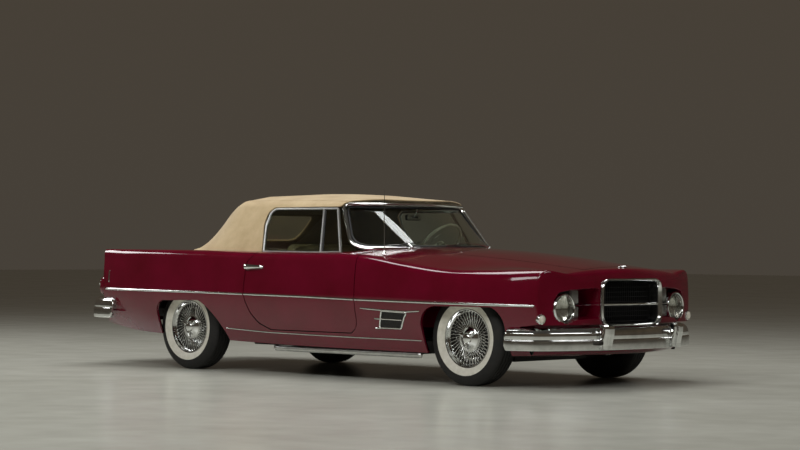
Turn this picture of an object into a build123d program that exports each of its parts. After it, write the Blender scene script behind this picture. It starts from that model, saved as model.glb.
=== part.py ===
from build123d import *
import math
import os

os.makedirs("parts", exist_ok=True)

# A two-door convertible of the 1950s with its soft top up.
# +X forward, +Y to the car's left, +Z up; the origin is on the ground, below the middle of the car.
# Lengths are in millimetres.

# ---------------------------------------------------------------- driving sizes
WHEELBASE = 2921.0
FRONT_AXLE_X = 1645.0
REAR_AXLE_X = FRONT_AXLE_X - WHEELBASE
TRACK = 1522.0
TYRE_R = 334.0
TYRE_WIDTH = 200.0
TREAD_WIDTH = 150.0
RIM_R = 193.0
RIM_FLANGE_R = 206.0
RIM_WIDTH = 150.0
FENDER_WALL = 14.0
DOOR_SKIN = 26.0
LID_WALL = 24.0
SHUT_GAP = 6.0
HINGE_R = 4.0
HINGE_PIN_R = 2.0
HINGE_Y = 60.0
HINGE_L = 30.0
SOFT_GAP = 0.3
RUN_GAP = 0.05

# Body sections from nose to tail. Each row: x; z and half width of the lower edge; z and half width of
# the widest line; z and half width below the shoulder; z and half width of the crest; z and half width of
# the inner foot, where the fender meets the lid; z on the centre line.
BODY = [
    (2500, 245, 720, 560, 790, 735, 775, 800, 700, 770, 560, 812),
    (2320, 238, 790, 570, 862, 742, 846, 815, 775, 795, 610, 838),
    (2120, 230, 835, 575, 925, 745, 906, 815, 820, 815, 640, 862),
    (1850, 224, 858, 578, 966, 742, 948, 812, 860, 845, 640, 896),
    (1500, 223, 868, 581, 983, 748, 963, 818, 880, 880, 620, 932),
    (1100, 224, 875, 586, 987, 785, 968, 862, 893, 915, 620, 956),
    (700, 226, 880, 590, 988, 840, 968, 916, 905, 944, 650, 970),
    (100, 230, 884, 597, 988, 850, 965, 921, 900, 925, 700, 935),
    (-500, 240, 884, 604, 988, 856, 963, 926, 900, 930, 750, 935),
    (-1000, 252, 880, 610, 986, 862, 962, 932, 905, 935, 780, 950),
    (-1500, 270, 872, 615, 980, 868, 956, 937, 912, 905, 800, 938),
    (-1950, 300, 852, 618, 962, 870, 938, 938, 905, 862, 790, 900),
    (-2250, 345, 825, 619, 930, 870, 912, 938, 886, 815, 770, 848),
    (-2480, 390, 790, 619, 880, 850, 868, 905, 845, 770, 730, 800),
]
LOWER_BULGE = 16.0  # how far the side bows out below the widest line
SIDE_BULGE = 5.0  # and above it
SHOULDER_BULGE = 0.2  # share of its chord that the shoulder bows out
FOOT_LEAN = 0.3  # how far the hollow's foot leans in for each millimetre that it reaches below the edge


def lerp(a, b, t):
    """The value t of the way from a to b."""
    return a + (b - a) * t


def side_plane(x):
    """The plane across the car at x, with its own x along +Y and its own y up."""
    return Plane(origin=(x, 0, 0), x_dir=(0, 1, 0), z_dir=(1, 0, 0))


def bowed(a, b, bow):
    """An arc from a to b whose middle lies bow to the right of the way there, in a section's plane."""
    middle = ((a[0] + b[0]) / 2, (a[1] + b[1]) / 2)
    run = math.dist(a, b)
    out = ((b[1] - a[1]) / run, -(b[0] - a[0]) / run)
    return ThreePointArc(a, (middle[0] + out[0] * bow, middle[1] + out[1] * bow), b)


def body_wire(row, inset, drop):
    """The closed outline of one body section, drawn inset inwards and drop lower at its foot."""
    x, z_low, y_low, z_wide, y_wide, z_under, y_under, z_crest, y_crest, z_foot, y_foot, z_mid = row
    low = (y_low - inset - drop * FOOT_LEAN, z_low - drop)
    wide = (y_wide - inset, z_wide)
    under = (y_under - inset, z_under)
    crest = (y_crest - inset * 0.5, z_crest - inset)
    foot = (y_foot, z_foot - inset)
    top = (0, z_mid - inset)
    half = [
        bowed(low, wide, LOWER_BULGE),
        bowed(wide, under, SIDE_BULGE),
        bowed(under, crest, SHOULDER_BULGE * math.dist(under, crest)),
        Line(crest, foot),
    ]
    other = [edge.mirror(Plane.YZ) for edge in half]
    roof = ThreePointArc(foot, top, (-foot[0], foot[1]))
    floor = Line((-low[0], low[1]), low)
    return side_plane(x) * Wire([floor, *half, roof, *reversed(other)])


def body_loft(inset=0.0, drop=0.0):
    """The whole body's outer form, inset by a wall."""
    return Solid.make_loft([body_wire(row, inset, drop) for row in BODY], ruled=True)


def block(x0, x1, y0, y1, z0, z1):
    """A box by its six sides."""
    return Pos((x0 + x1) / 2, (y0 + y1) / 2, (z0 + z1) / 2) * Box(x1 - x0, y1 - y0, z1 - z0)


def side_prism(points, y0, y1):
    """A prism whose outline is a closed polygon in x and z, from y0 to y1."""
    face = Plane.XZ * make_face(Polyline(*points, close=True))
    return Pos(0, y1, 0) * extrude(face, y1 - y0)


def plan_prism(points, z0, z1):
    """A prism whose outline is a closed polygon in x and y, from z0 to z1."""
    return Pos(0, 0, z0) * extrude(make_face(Polyline(*points, close=True)), z1 - z0)


def both(piece):
    """A piece on the left and its mirror image on the right."""
    return Part() + [piece, mirror(piece, Plane.XZ)]


def rod(start, end, radius):
    """A round bar from one point to another."""
    line = Vector(*end) - Vector(*start)
    seat = (Align.CENTER, Align.CENTER, Align.MIN)
    return Plane(origin=start, z_dir=line) * Cylinder(radius, line.length, align=seat)


def hinge_pair(x, z):
    """Two pairs of small knuckles on one axis across the car: fixed ones with their pins, and moving ones."""
    fixed = rod((x, HINGE_Y, z), (x, HINGE_Y + HINGE_L, z), HINGE_R)
    pin = rod((x, HINGE_Y, z), (x, HINGE_Y + 2 * HINGE_L, z), HINGE_PIN_R)
    moving = rod((x, HINGE_Y + HINGE_L + SOFT_GAP, z), (x, HINGE_Y + 2 * HINGE_L, z), HINGE_R)
    bore = rod((x, HINGE_Y, z), (x, HINGE_Y + 3 * HINGE_L, z), HINGE_PIN_R + RUN_GAP)
    return both(fixed + pin), both(moving - bore), both(bore)


def save(name, piece):
    """Writes one piece to its own file."""
    export_step(piece, f"parts/{name}.step")
    print(name, len(piece.solids()), "solids", round(sum(s.volume for s in piece.solids())))


# ---------------------------------------------------------------- body forms
OUTER = body_loft()
INNER = body_loft(FENDER_WALL, 60)
DOOR_MID = body_loft(DOOR_SKIN, 60)
LID_IN = body_loft(LID_WALL, 60)

NOSE_X = 2455.0
CORNER_X = 2330.0
CORNER_Y = 780.0
CHIN_X = 2440.0
CHIN_CORNER_X = 2235.0
CHIN_Z = 440.0
TAIL_X = -2445.0
TAIL_CORNER_X = -2232.0
TAIL_CORNER_Y = 900.0
FAR = 3000.0
WIDE = 1200.0


def bow_wire(x_mid, x_corner, y_corner, sign):
    """The plan outline of everything beyond an arc across the car, ahead of it for sign 1."""
    arc = ThreePointArc((x_corner, -y_corner), (x_mid, 0), (x_corner, y_corner))
    rear = 180.0
    return Wire([
        arc,
        Line((x_corner, y_corner), (x_corner - sign * rear, WIDE)),
        Line((x_corner - sign * rear, WIDE), (sign * FAR, WIDE)),
        Line((sign * FAR, WIDE), (sign * FAR, -WIDE)),
        Line((sign * FAR, -WIDE), (x_corner - sign * rear, -WIDE)),
        Line((x_corner - sign * rear, -WIDE), (x_corner, -y_corner)),
    ])


def bow_cut(x_mid, x_corner, y_corner, sign):
    """Everything beyond an arc across the car through its middle and its two corners, at every height."""
    return extrude(Face(bow_wire(x_mid, x_corner, y_corner, sign)), 1500, dir=(0, 0, 1))


# The nose rolls over into its front face, fully in the middle and tightly at the wing tips
ROLL_LOW_Z = 752.0
ROLL_HIGH_Z = 842.0
ROLL_MID = 82.0
ROLL_CORNER = 22.0
roll_low = Pos(0, 0, ROLL_LOW_Z) * bow_wire(NOSE_X, CORNER_X, CORNER_Y, 1)
roll_high = Pos(0, 0, ROLL_HIGH_Z) * bow_wire(NOSE_X - ROLL_MID, CORNER_X - ROLL_CORNER, CORNER_Y, 1)
ROLL_CUT = Solid.make_loft([roll_low, roll_high], ruled=True)
NOSE_CUT = bow_cut(NOSE_X, CORNER_X, CORNER_Y, 1) + ROLL_CUT
TAIL_CUT = bow_cut(TAIL_X, TAIL_CORNER_X, TAIL_CORNER_Y, -1)
CHIN_CUT = bow_cut(CHIN_X, CHIN_CORNER_X, CORNER_Y, 1) & block(0, FAR, -WIDE, WIDE, 0, CHIN_Z)
NOSE_CUT_IN = Pos(-FENDER_WALL, 0, 0) * NOSE_CUT
CHIN_CUT_IN = Pos(-FENDER_WALL, 0, FENDER_WALL) * CHIN_CUT
TAIL_CUT_IN = Pos(FENDER_WALL, 0, 0) * TAIL_CUT

HULL = OUTER - NOSE_CUT - TAIL_CUT - CHIN_CUT
SHELL = HULL - (INNER - NOSE_CUT_IN - TAIL_CUT_IN - CHIN_CUT_IN)

# ---------------------------------------------------------------- shut lines
DOOR_FRONT_X = 682.0
DOOR_REAR_X = -490.0
DOOR_BELT_X = -412.0
DOOR_LOW_Z = 344.0
DOOR_INNER_Y = 845.0
BONNET_REAR_X = 880.0
BONNET_FRONT_X = 2330.0
BONNET_REAR_Y = 545.0
BONNET_FRONT_Y = 405.0
BOOT_FRONT_X = -1640.0
BOOT_REAR_X = -2390.0
BOOT_FRONT_Y = 720.0
BOOT_REAR_Y = 660.0
COWL_FRONT_X = BONNET_REAR_X - SHUT_GAP
COWL_REAR_X = 400.0
COWL_MID_X = 790.0
COWL_Y = 839.0
FIREWALL_X = 700.0
FIREWALL_T = 12.0
INNER_WING_Y = 482.0
INNER_WING_END_X = 2140.0
CABIN_REAR_X = -1330.0


def door_outline(grow):
    """The door's outline seen from the side, grown outwards all round; its top stays open above the belt."""
    x_front = DOOR_FRONT_X + grow
    x_rear = DOOR_REAR_X - grow
    z_low = DOOR_LOW_Z - grow
    belt = DOOR_BELT_X - grow
    return [
        (x_front, 1000),
        (x_front, 430),
        (x_front - 20, 380),
        (x_front - 80, z_low),
        (x_rear + 250, z_low),
        (x_rear + 130, z_low + 48),
        (x_rear + 55, z_low + 125),
        (x_rear + 12, z_low + 215),
        (x_rear, z_low + 280),
        (x_rear + 18, 850),
        (belt, 905),
        (belt, 1000),
    ]


def bonnet_outline(grow):
    """The bonnet's outline from above, grown by a gap."""
    return [
        (BONNET_REAR_X - grow, -BONNET_REAR_Y - grow),
        (BONNET_FRONT_X + grow, -BONNET_FRONT_Y - grow),
        (BONNET_FRONT_X + grow, BONNET_FRONT_Y + grow),
        (BONNET_REAR_X - grow, BONNET_REAR_Y + grow),
    ]


def boot_outline(grow):
    """The boot lid's outline from above, grown by a gap."""
    return [
        (BOOT_FRONT_X + grow, -BOOT_FRONT_Y - grow),
        (BOOT_FRONT_X + grow, BOOT_FRONT_Y + grow),
        (BOOT_REAR_X - grow, BOOT_REAR_Y + grow),
        (BOOT_REAR_X - grow, -BOOT_REAR_Y - grow),
    ]


# Wheel arches seen from the side, as (x from the axle, z): foot, three points round the rear corner,
# three round the front corner, foot
FRONT_ARCH = [
    (-335, 100), (-335, 430), (-292, 510), (-190, 558), (316, 560), (387, 504), (412, 430), (425, 100),
]
REAR_ARCH = [
    (-290, 100), (-268, 440), (-232, 512), (-143, 540), (255, 549), (400, 452), (520, 278), (560, 100),
]


def arch(points, axle_x):
    """The opening of a wheel arch through one side, its two corners round."""
    p = [(axle_x + x, z) for x, z in points]
    edges = [
        Line(p[0], p[1]),
        ThreePointArc(p[1], p[2], p[3]),
        Line(p[3], p[4]),
        ThreePointArc(p[4], p[5], p[6]),
        Line(p[6], p[7]),
        Line(p[7], p[0]),
    ]
    face = Plane.XZ * Face(Wire(edges))
    return Pos(0, 1100, 0) * extrude(face, 500, dir=(0, -1, 0))


FRONT_ARCH_CUT = both(arch(FRONT_ARCH, FRONT_AXLE_X))
REAR_ARCH_CUT = both(arch(REAR_ARCH, REAR_AXLE_X))

# ---------------------------------------------------------------- nose: mouth, coves and lamps
MOUTH_HALF = 345.0
MOUTH_LOW = 425.0
MOUTH_HIGH = 762.0
MOUTH_CORNER = 95.0
LAMP_X = 2330.0
LAMP_Y = 636.0
LAMP_Z = 552.0
LAMP_R = 106.0
COVE_LOW = 470.0
COVE_HIGH = 690.0
COVE_INNER_Y = 395.0


def mouth_face(grow):
    """The grille mouth's rounded outline, seen from the front."""
    width = 2 * (MOUTH_HALF + grow)
    height = MOUTH_HIGH - MOUTH_LOW + 2 * grow
    centre = (MOUTH_HIGH + MOUTH_LOW) / 2
    return side_plane(0) * Pos(0, centre) * RectangleRounded(width, height, MOUTH_CORNER + grow)


MOUTH_CUT = Pos(2100, 0, 0) * extrude(mouth_face(0), 600)
LAMP_CUT = both(Pos(LAMP_X, LAMP_Y, LAMP_Z) * Rot(0, 90, 0) * Cylinder(LAMP_R + SOFT_GAP, 400))
COVE_CUT = both(block(CORNER_X - 40, FAR, COVE_INNER_Y, LAMP_Y, COVE_LOW, COVE_HIGH))

PARK_Y = 845.0
PARK_Z = 487.0
PARK_R = 32.0
TAIL_LAMP_Y = 858.0
TAIL_LAMP_Z = 665.0
TAIL_LAMP_R = 46.0
IRON_Y = (405.0, 475.0)
FRONT_IRON_Z = (304.0, 330.0)
REAR_IRON_Z = (400.0, 426.0)
IRON_GAP = 4.0
PARK_CUT = both(rod((2200, PARK_Y, PARK_Z), (2500, PARK_Y, PARK_Z), PARK_R + SOFT_GAP))
tail_lamp_room = rod(
    (-2150, TAIL_LAMP_Y, TAIL_LAMP_Z), (-2500, TAIL_LAMP_Y, TAIL_LAMP_Z), TAIL_LAMP_R + SOFT_GAP
)
TAIL_LAMP_CUT = both(tail_lamp_room)
IRON_CUT = both(
    block(
        2300, FAR, IRON_Y[0] - IRON_GAP, IRON_Y[1] + IRON_GAP,
        FRONT_IRON_Z[0] - IRON_GAP, FRONT_IRON_Z[1] + IRON_GAP,
    )
    + block(
        -FAR, -2300, IRON_Y[0] - IRON_GAP, IRON_Y[1] + IRON_GAP,
        REAR_IRON_Z[0] - IRON_GAP, REAR_IRON_Z[1] + IRON_GAP,
    )
)
nose_shell = SHELL - MOUTH_CUT - LAMP_CUT - COVE_CUT - PARK_CUT - TAIL_LAMP_CUT - IRON_CUT
bonnet_hole = plan_prism(bonnet_outline(SHUT_GAP), 600, 1100)
boot_hole = plan_prism(boot_outline(SHUT_GAP), 700, 1100)

# ---------------------------------------------------------------- outer panels
FLOOR_Z = 286.0
FLOOR_T = 8.0
FLOOR_Y = 820.0
TUNNEL_Y = 150.0
TUNNEL_Z = 420.0
SILL_TOP_Z = DOOR_LOW_Z - SHUT_GAP
ARM_HALF = 34.0
UPPER_ARM_Z = (488.0, 504.0)
FENDER_REAR_X = DOOR_FRONT_X + SHUT_GAP
NOSE_SPLIT_X = 2150.0
fixed = nose_shell - FRONT_ARCH_CUT - REAR_ARCH_CUT - bonnet_hole - boot_hole

front = fixed & block(FENDER_REAR_X, NOSE_SPLIT_X, 0, WIDE, 0, 1200)
front_fender = front - block(0, COWL_FRONT_X, -1, COWL_Y, 0, 1200)
save("front_fender_left", front_fender)
save("front_fender_right", mirror(front_fender, Plane.XZ))
save("nose_panel", fixed & block(NOSE_SPLIT_X, FAR, -WIDE, WIDE, 0, 1200))

bonnet = (HULL - LID_IN) & plan_prism(bonnet_outline(0), 600, 1100)
BONNET_AXIS = (BONNET_REAR_X - SHUT_GAP / 2, 965.0)
BOOT_AXIS = (BOOT_FRONT_X + SHUT_GAP / 2, 928.0)
bonnet_fixed, bonnet_moving, bonnet_bore = hinge_pair(*BONNET_AXIS)
boot_fixed, boot_moving, boot_bore = hinge_pair(*BOOT_AXIS)


def hinge_room(axis, near, far):
    """The room round a row of knuckles that stand on the other panel."""
    return both(block(axis[0] - 8, axis[0] + 8, HINGE_Y + near, HINGE_Y + far, axis[1] - 8, axis[1] + 8))


bonnet = bonnet - hinge_room(BONNET_AXIS, -SOFT_GAP, HINGE_L + SOFT_GAP) + bonnet_moving - bonnet_bore
save("bonnet", bonnet)

cowl_edge = ThreePointArc((COWL_REAR_X, COWL_Y), (COWL_MID_X, 0), (COWL_REAR_X, -COWL_Y))
cowl_path = Wire([
    cowl_edge,
    *Polyline(
        (COWL_REAR_X, -COWL_Y), (COWL_FRONT_X, -COWL_Y), (COWL_FRONT_X, COWL_Y), (COWL_REAR_X, COWL_Y)
    ).edges(),
])
cowl = (HULL - LID_IN) & (Pos(0, 0, 600) * extrude(Face(cowl_path), 600, dir=(0, 0, 1)))
cowl = cowl - hinge_room(BONNET_AXIS, HINGE_L, 2 * HINGE_L + SOFT_GAP) + bonnet_fixed
firewall = block(FIREWALL_X, FIREWALL_X + FIREWALL_T, -COWL_Y, COWL_Y, SILL_TOP_Z, 935)
firewall += block(FIREWALL_X, FIREWALL_X + FIREWALL_T, -FLOOR_Y, FLOOR_Y, FLOOR_Z + FLOOR_T, SILL_TOP_Z)
firewall -= block(FIREWALL_X - 20, FIREWALL_X + 40, -TUNNEL_Y, TUNNEL_Y, 0, TUNNEL_Z)
inner_wing = block(FIREWALL_X, INNER_WING_END_X, INNER_WING_Y, INNER_WING_Y + FENDER_WALL, 385, 740)
arm_slot = block(FRONT_AXLE_X - ARM_HALF - 6, FRONT_AXLE_X + ARM_HALF + 6, 0, FAR, 0, UPPER_ARM_Z[1] + 10)
inner_wing -= arm_slot
hinge_post = block(COWL_REAR_X + 10, FIREWALL_X + 5, COWL_Y - 50, COWL_Y, SILL_TOP_Z, 915)
save("cowl_and_bulkhead", cowl + (firewall & LID_IN) + both(inner_wing & LID_IN) + both(hinge_post & LID_IN))

quarter = fixed & block(-FAR, DOOR_BELT_X - SHUT_GAP, 0, WIDE, 0, 1200)
quarter = quarter - side_prism(door_outline(SHUT_GAP), 600, 1100)
cabin_hole = block(CABIN_REAR_X, 1000, -DOOR_INNER_Y, DOOR_INNER_Y, 300, 1200)
quarter = quarter - cabin_hole
DECK_Y = 760.0
TAIL_SPLIT_X = -2200.0
quarter_side = quarter - block(TAIL_SPLIT_X, 1000, -1, DECK_Y, 700, 1200)
quarter_side -= block(-FAR, TAIL_SPLIT_X, -1, WIDE, 0, 1200)
save("rear_quarter_left", quarter_side)
save("rear_quarter_right", mirror(quarter_side, Plane.XZ))
deck = fixed & block(TAIL_SPLIT_X, CABIN_REAR_X, -DECK_Y, DECK_Y, 700, 1200)
tail = fixed & block(-FAR, TAIL_SPLIT_X, -WIDE, WIDE, 0, 1200)
deck = deck - hinge_room(BOOT_AXIS, HINGE_L, 2 * HINGE_L + SOFT_GAP) + boot_fixed
save("rear_deck", deck + tail)

boot_lid = (HULL - LID_IN) & plan_prism(boot_outline(0), 700, 1100)
boot_lid = boot_lid - hinge_room(BOOT_AXIS, -SOFT_GAP, HINGE_L + SOFT_GAP) + boot_moving - boot_bore
save("boot_lid", boot_lid)

side_band = block(-FAR, FAR, DOOR_INNER_Y, WIDE, 0, 1200)
outer_layer = (OUTER - DOOR_MID) & side_prism(door_outline(0), 700, 1100)
inner_layer = DOOR_MID & side_prism(door_outline(-22), 700, 1100)
door = (outer_layer + inner_layer) & side_band
save("door_left", door)
save("door_right", mirror(door, Plane.XZ))


# ---------------------------------------------------------------- floor, sills and bulkheads
FOOTWELL_X = FIREWALL_X + FIREWALL_T
HEEL_X = -700.0
HEEL_Z = 470.0
BOOT_FLOOR_Z = 470.0
BOOT_END_X = -2180.0
WELL_R = 385.0
WELL_INNER_Y = 620.0

sill = (HULL & block(DOOR_REAR_X - 60, FENDER_REAR_X, FLOOR_Y, WIDE, 0, DOOR_LOW_Z + 60))
sill = sill - side_prism(door_outline(SHUT_GAP), 600, 1100)
sill = sill & block(-FAR, FAR, FLOOR_Y, WIDE, 0, SILL_TOP_Z)
sill = sill - block(-FAR, DOOR_BELT_X - SHUT_GAP, FLOOR_Y, WIDE, 0, 1200)
floor = block(HEEL_X, FOOTWELL_X, -FLOOR_Y, FLOOR_Y, FLOOR_Z, FLOOR_Z + FLOOR_T)
heel = block(HEEL_X - FLOOR_T, HEEL_X, -FLOOR_Y, FLOOR_Y, FLOOR_Z, HEEL_Z)
boot_floor = block(BOOT_END_X, HEEL_X, -FLOOR_Y, FLOOR_Y, BOOT_FLOOR_Z, BOOT_FLOOR_Z + FLOOR_T)
tunnel = block(HEEL_X, FOOTWELL_X, -TUNNEL_Y, TUNNEL_Y, FLOOR_Z, TUNNEL_Z)
tunnel -= block(
    HEEL_X - 20, FOOTWELL_X + 20, -TUNNEL_Y + FLOOR_T, TUNNEL_Y - FLOOR_T, 0, TUNNEL_Z - FLOOR_T
)
well = rod((REAR_AXLE_X, WELL_INNER_Y, TYRE_R), (REAR_AXLE_X, 920, TYRE_R), WELL_R)
well_skin = rod((REAR_AXLE_X, WELL_INNER_Y - FLOOR_T, TYRE_R), (REAR_AXLE_X, 900, TYRE_R), WELL_R + FLOOR_T)
wells = both(well_skin & block(-FAR, FAR, 0, WIDE, BOOT_FLOOR_Z, 1200))
pan = floor + heel + boot_floor + tunnel + wells + both(sill)
pan -= both(well)
pan -= block(HEEL_X - FLOOR_T, FOOTWELL_X, -TUNNEL_Y + FLOOR_T, TUNNEL_Y - FLOOR_T, 0, TUNNEL_Z - FLOOR_T)
save("floor_and_sills", pan)

# ---------------------------------------------------------------- chassis
RAIL_Y = 400.0
RAIL_W = 80.0
RAIL_PROFILE = [
    (2330, 300), (2330, 380), (1250, 380), (1080, FLOOR_Z), (-820, FLOOR_Z),
    (-1000, BOOT_FLOOR_Z), (-2150, BOOT_FLOOR_Z), (-2150, 390), (-1080, 390), (-900, 200),
    (1040, 200), (1210, 300),
]
OUTRIGGER_X = (900.0, 350.0, -200.0)
OUTRIGGER_R = 15.0
OUTRIGGER_Z = 201.0
SIDE_RAIL_Y = 858.0
SIDE_RAIL_R = 18.0
SIDE_RAIL_Z = 201.0
SIDE_RAIL_FRONT_X = 1215.0
SIDE_RAIL_REAR_X = -260.0
CROSS_X = FRONT_AXLE_X
CROSS_TOP_Z = 310.0
rails = both(side_prism(RAIL_PROFILE, RAIL_Y, RAIL_Y + RAIL_W))
cross = block(CROSS_X - 70, CROSS_X + 70, -RAIL_Y - 5, RAIL_Y + 5, 158, CROSS_TOP_Z)
front_bar = block(2270, 2320, -RAIL_Y - 5, RAIL_Y + 5, 310, 370)
rear_bar = block(-2140, -2110, -RAIL_Y - 5, RAIL_Y + 5, 395, 460)
side_rail = rod(
    (SIDE_RAIL_REAR_X, SIDE_RAIL_Y, SIDE_RAIL_Z), (SIDE_RAIL_FRONT_X, SIDE_RAIL_Y, SIDE_RAIL_Z), SIDE_RAIL_R
)
outriggers = [
    rod((x, -SIDE_RAIL_Y, OUTRIGGER_Z), (x, SIDE_RAIL_Y, OUTRIGGER_Z), OUTRIGGER_R)
    for x in OUTRIGGER_X
]
save("chassis_frame", rails + cross + front_bar + rear_bar + both(side_rail) + outriggers)

# Engine and gearbox as one plain mass
ENGINE_X = (1010.0, 1900.0)
ENGINE_Y = 300.0
ENGINE_Z = (385.0, 800.0)
GEARBOX_X = 330.0
GEARBOX_Y = 130.0
GEARBOX_Z = (300.0, 405.0)
engine = block(*ENGINE_X, -ENGINE_Y, ENGINE_Y, *ENGINE_Z)
gearbox = block(GEARBOX_X, ENGINE_X[0], -GEARBOX_Y, GEARBOX_Y, *GEARBOX_Z)
mounts = both(block(
    FRONT_AXLE_X - 50, FRONT_AXLE_X + 50, ENGINE_Y - 100, ENGINE_Y - 20, CROSS_TOP_Z, ENGINE_Z[0]
))
save("engine_block", engine + gearbox + mounts)

# ---------------------------------------------------------------- wheels
HUB_R = 62.0
HUB_INNER_Y = -60.0
HUB_OUTER_Y = 70.0
DRUM_R = 148.0
DRUM_INNER_Y = -80.0
BORE_END_Y = 45.0
SPINDLE_END_Y = 40.0
SPINDLE_R = 20.0
CAP_R = 96.0
CAP_Y = 48.0
SPOKES = 28
SPOKE_R = 3.0
SPOKE_HUB_R = HUB_R - 6
SPOKE_HUB_Y = 34.0
SPOKE_RIM_R = RIM_R - 4
SPOKE_RIM_Y = 14.0
SPOKE_LEAD = 0.32


def tyre_solid():
    """One tyre about the Y axis, its middle plane at y = 0."""
    half_bead = RIM_WIDTH / 2 - 4
    points = [(RIM_R + 0.5, half_bead), (RIM_FLANGE_R + 0.5, half_bead)]
    wall_top = (TYRE_R - 12, TREAD_WIDTH / 2 + 8)
    tread = (TYRE_R, TREAD_WIDTH / 2 - 10)
    wall = ThreePointArc(points[1], (RIM_FLANGE_R + 60, TYRE_WIDTH / 2), wall_top)
    half = [Line(*points), wall, Line(wall_top, tread)]
    other = [edge.mirror(Plane.XZ) for edge in half]
    section = Wire([
        *half, Line(tread, (tread[0], -tread[1])), *reversed(other),
        Line((points[0][0], -half_bead), points[0]),
    ])
    return revolve(Face(section), Axis.Y)


def ring(r_out, r_in, y0, y1):
    """A plain ring about the Y axis from y0 to y1."""
    solid = Cylinder(r_out, y1 - y0)
    if r_in:
        solid -= Cylinder(r_in, y1 - y0)
    return Pos(0, (y0 + y1) / 2, 0) * Rot(90, 0, 0) * solid


def wheel_solid():
    """One wire wheel about the Y axis, its outside facing +Y, with its hub and brake drum."""
    half = RIM_WIDTH / 2
    barrel = ring(RIM_R, RIM_R - 8, -half, half)
    flanges = ring(RIM_FLANGE_R, RIM_R - 8, half - 3.9, half + 5)
    flanges += ring(RIM_FLANGE_R, RIM_R - 8, -half - 5, -half + 3.9)
    hub = ring(HUB_R, 0, HUB_INNER_Y, HUB_OUTER_Y)
    drum = ring(DRUM_R, 0, DRUM_INNER_Y, -5)
    cap = Pos(0, CAP_Y + 13, 0) * Rot(-90, 0, 0) * Cone(CAP_R, 42, 26)
    spinner = ring(34, 0, HUB_OUTER_Y - 5, HUB_OUTER_Y + 22)
    wheel = barrel + flanges + hub + drum + cap + spinner
    spokes = []
    for k in range(SPOKES):
        start = math.tau * k / SPOKES
        end = start + (SPOKE_LEAD if k % 2 else -SPOKE_LEAD)
        spokes.append(rod(
            (SPOKE_HUB_R * math.cos(start), SPOKE_HUB_Y, SPOKE_HUB_R * math.sin(start)),
            (SPOKE_RIM_R * math.cos(end), SPOKE_RIM_Y, SPOKE_RIM_R * math.sin(end)),
            SPOKE_R,
        ))
    wheel = wheel + spokes
    return wheel - ring(SPINDLE_R + RUN_GAP, 0, DRUM_INNER_Y - 5, BORE_END_Y)


TYRE = tyre_solid()
WHEEL = wheel_solid()
for end, axle_x in (("front", FRONT_AXLE_X), ("rear", REAR_AXLE_X)):
    place = Pos(axle_x, TRACK / 2, TYRE_R)
    for name, piece in (("tyre", TYRE), ("wheel", WHEEL)):
        save(f"{name}_{end}_left", place * piece)
        save(f"{name}_{end}_right", mirror(place * piece, Plane.XZ))

# ---------------------------------------------------------------- axles, knuckles and springs
KINGPIN_Y = TRACK / 2 - 111
KINGPIN_R = 9.0
KNUCKLE_Z = (184.0, 484.0)
KNUCKLE_HALF = 18.0
PLATE_R = 138.0
PLATE_Y = (TRACK / 2 - 93, TRACK / 2 - 87)
ARM_Z = (160.0, 180.0)
ARM_END = 14.0
TUBE_R = 38.0
DIFF_R = 120.0
DIFF_HALF = 95.0
PROP_R = 34.0
SPRING_Y = (520.0, 580.0)
SPRING_T = 26.0
SPRING_X = (-1890.0, -716.0)
EYE_R = 16.0

wheel_y = TRACK / 2
spindle = rod((FRONT_AXLE_X, KINGPIN_Y, TYRE_R), (FRONT_AXLE_X, wheel_y + SPINDLE_END_Y, TYRE_R), SPINDLE_R)
upright = block(
    FRONT_AXLE_X - 22, FRONT_AXLE_X + 22, KINGPIN_Y - KNUCKLE_HALF, KINGPIN_Y + KNUCKLE_HALF, *KNUCKLE_Z
)
plate = Pos(FRONT_AXLE_X, 0, TYRE_R) * ring(PLATE_R, 0, *PLATE_Y)
BORE_R = KINGPIN_R + RUN_GAP
pin_hole = rod(
    (FRONT_AXLE_X, KINGPIN_Y, KNUCKLE_Z[0] - 5), (FRONT_AXLE_X, KINGPIN_Y, KNUCKLE_Z[0] + 30), BORE_R
)
top_hole = rod(
    (FRONT_AXLE_X, KINGPIN_Y, KNUCKLE_Z[1] - 30), (FRONT_AXLE_X, KINGPIN_Y, KNUCKLE_Z[1] + 5), BORE_R
)
knuckle = upright + plate + spindle - pin_hole - top_hole
save("knuckle_left", knuckle)
save("knuckle_right", mirror(knuckle, Plane.XZ))

low_arm = block(FRONT_AXLE_X - ARM_HALF, FRONT_AXLE_X + ARM_HALF, RAIL_Y + 5, KINGPIN_Y + ARM_END, *ARM_Z)
low_pin = rod((FRONT_AXLE_X, KINGPIN_Y, ARM_Z[0]), (FRONT_AXLE_X, KINGPIN_Y, KNUCKLE_Z[0] + 25), KINGPIN_R)
high_arm = block(
    FRONT_AXLE_X - ARM_HALF, FRONT_AXLE_X + ARM_HALF, RAIL_Y + 20, KINGPIN_Y + ARM_END, *UPPER_ARM_Z
)
high_pin = rod(
    (FRONT_AXLE_X, KINGPIN_Y, KNUCKLE_Z[1] - 25), (FRONT_AXLE_X, KINGPIN_Y, UPPER_ARM_Z[1]), KINGPIN_R
)
tower = block(FRONT_AXLE_X - 45, FRONT_AXLE_X + 45, RAIL_Y + 10, RAIL_Y + 70, 380, UPPER_ARM_Z[1])
save("front_suspension", both(low_arm + low_pin) + both(high_arm + high_pin + tower))

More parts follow.
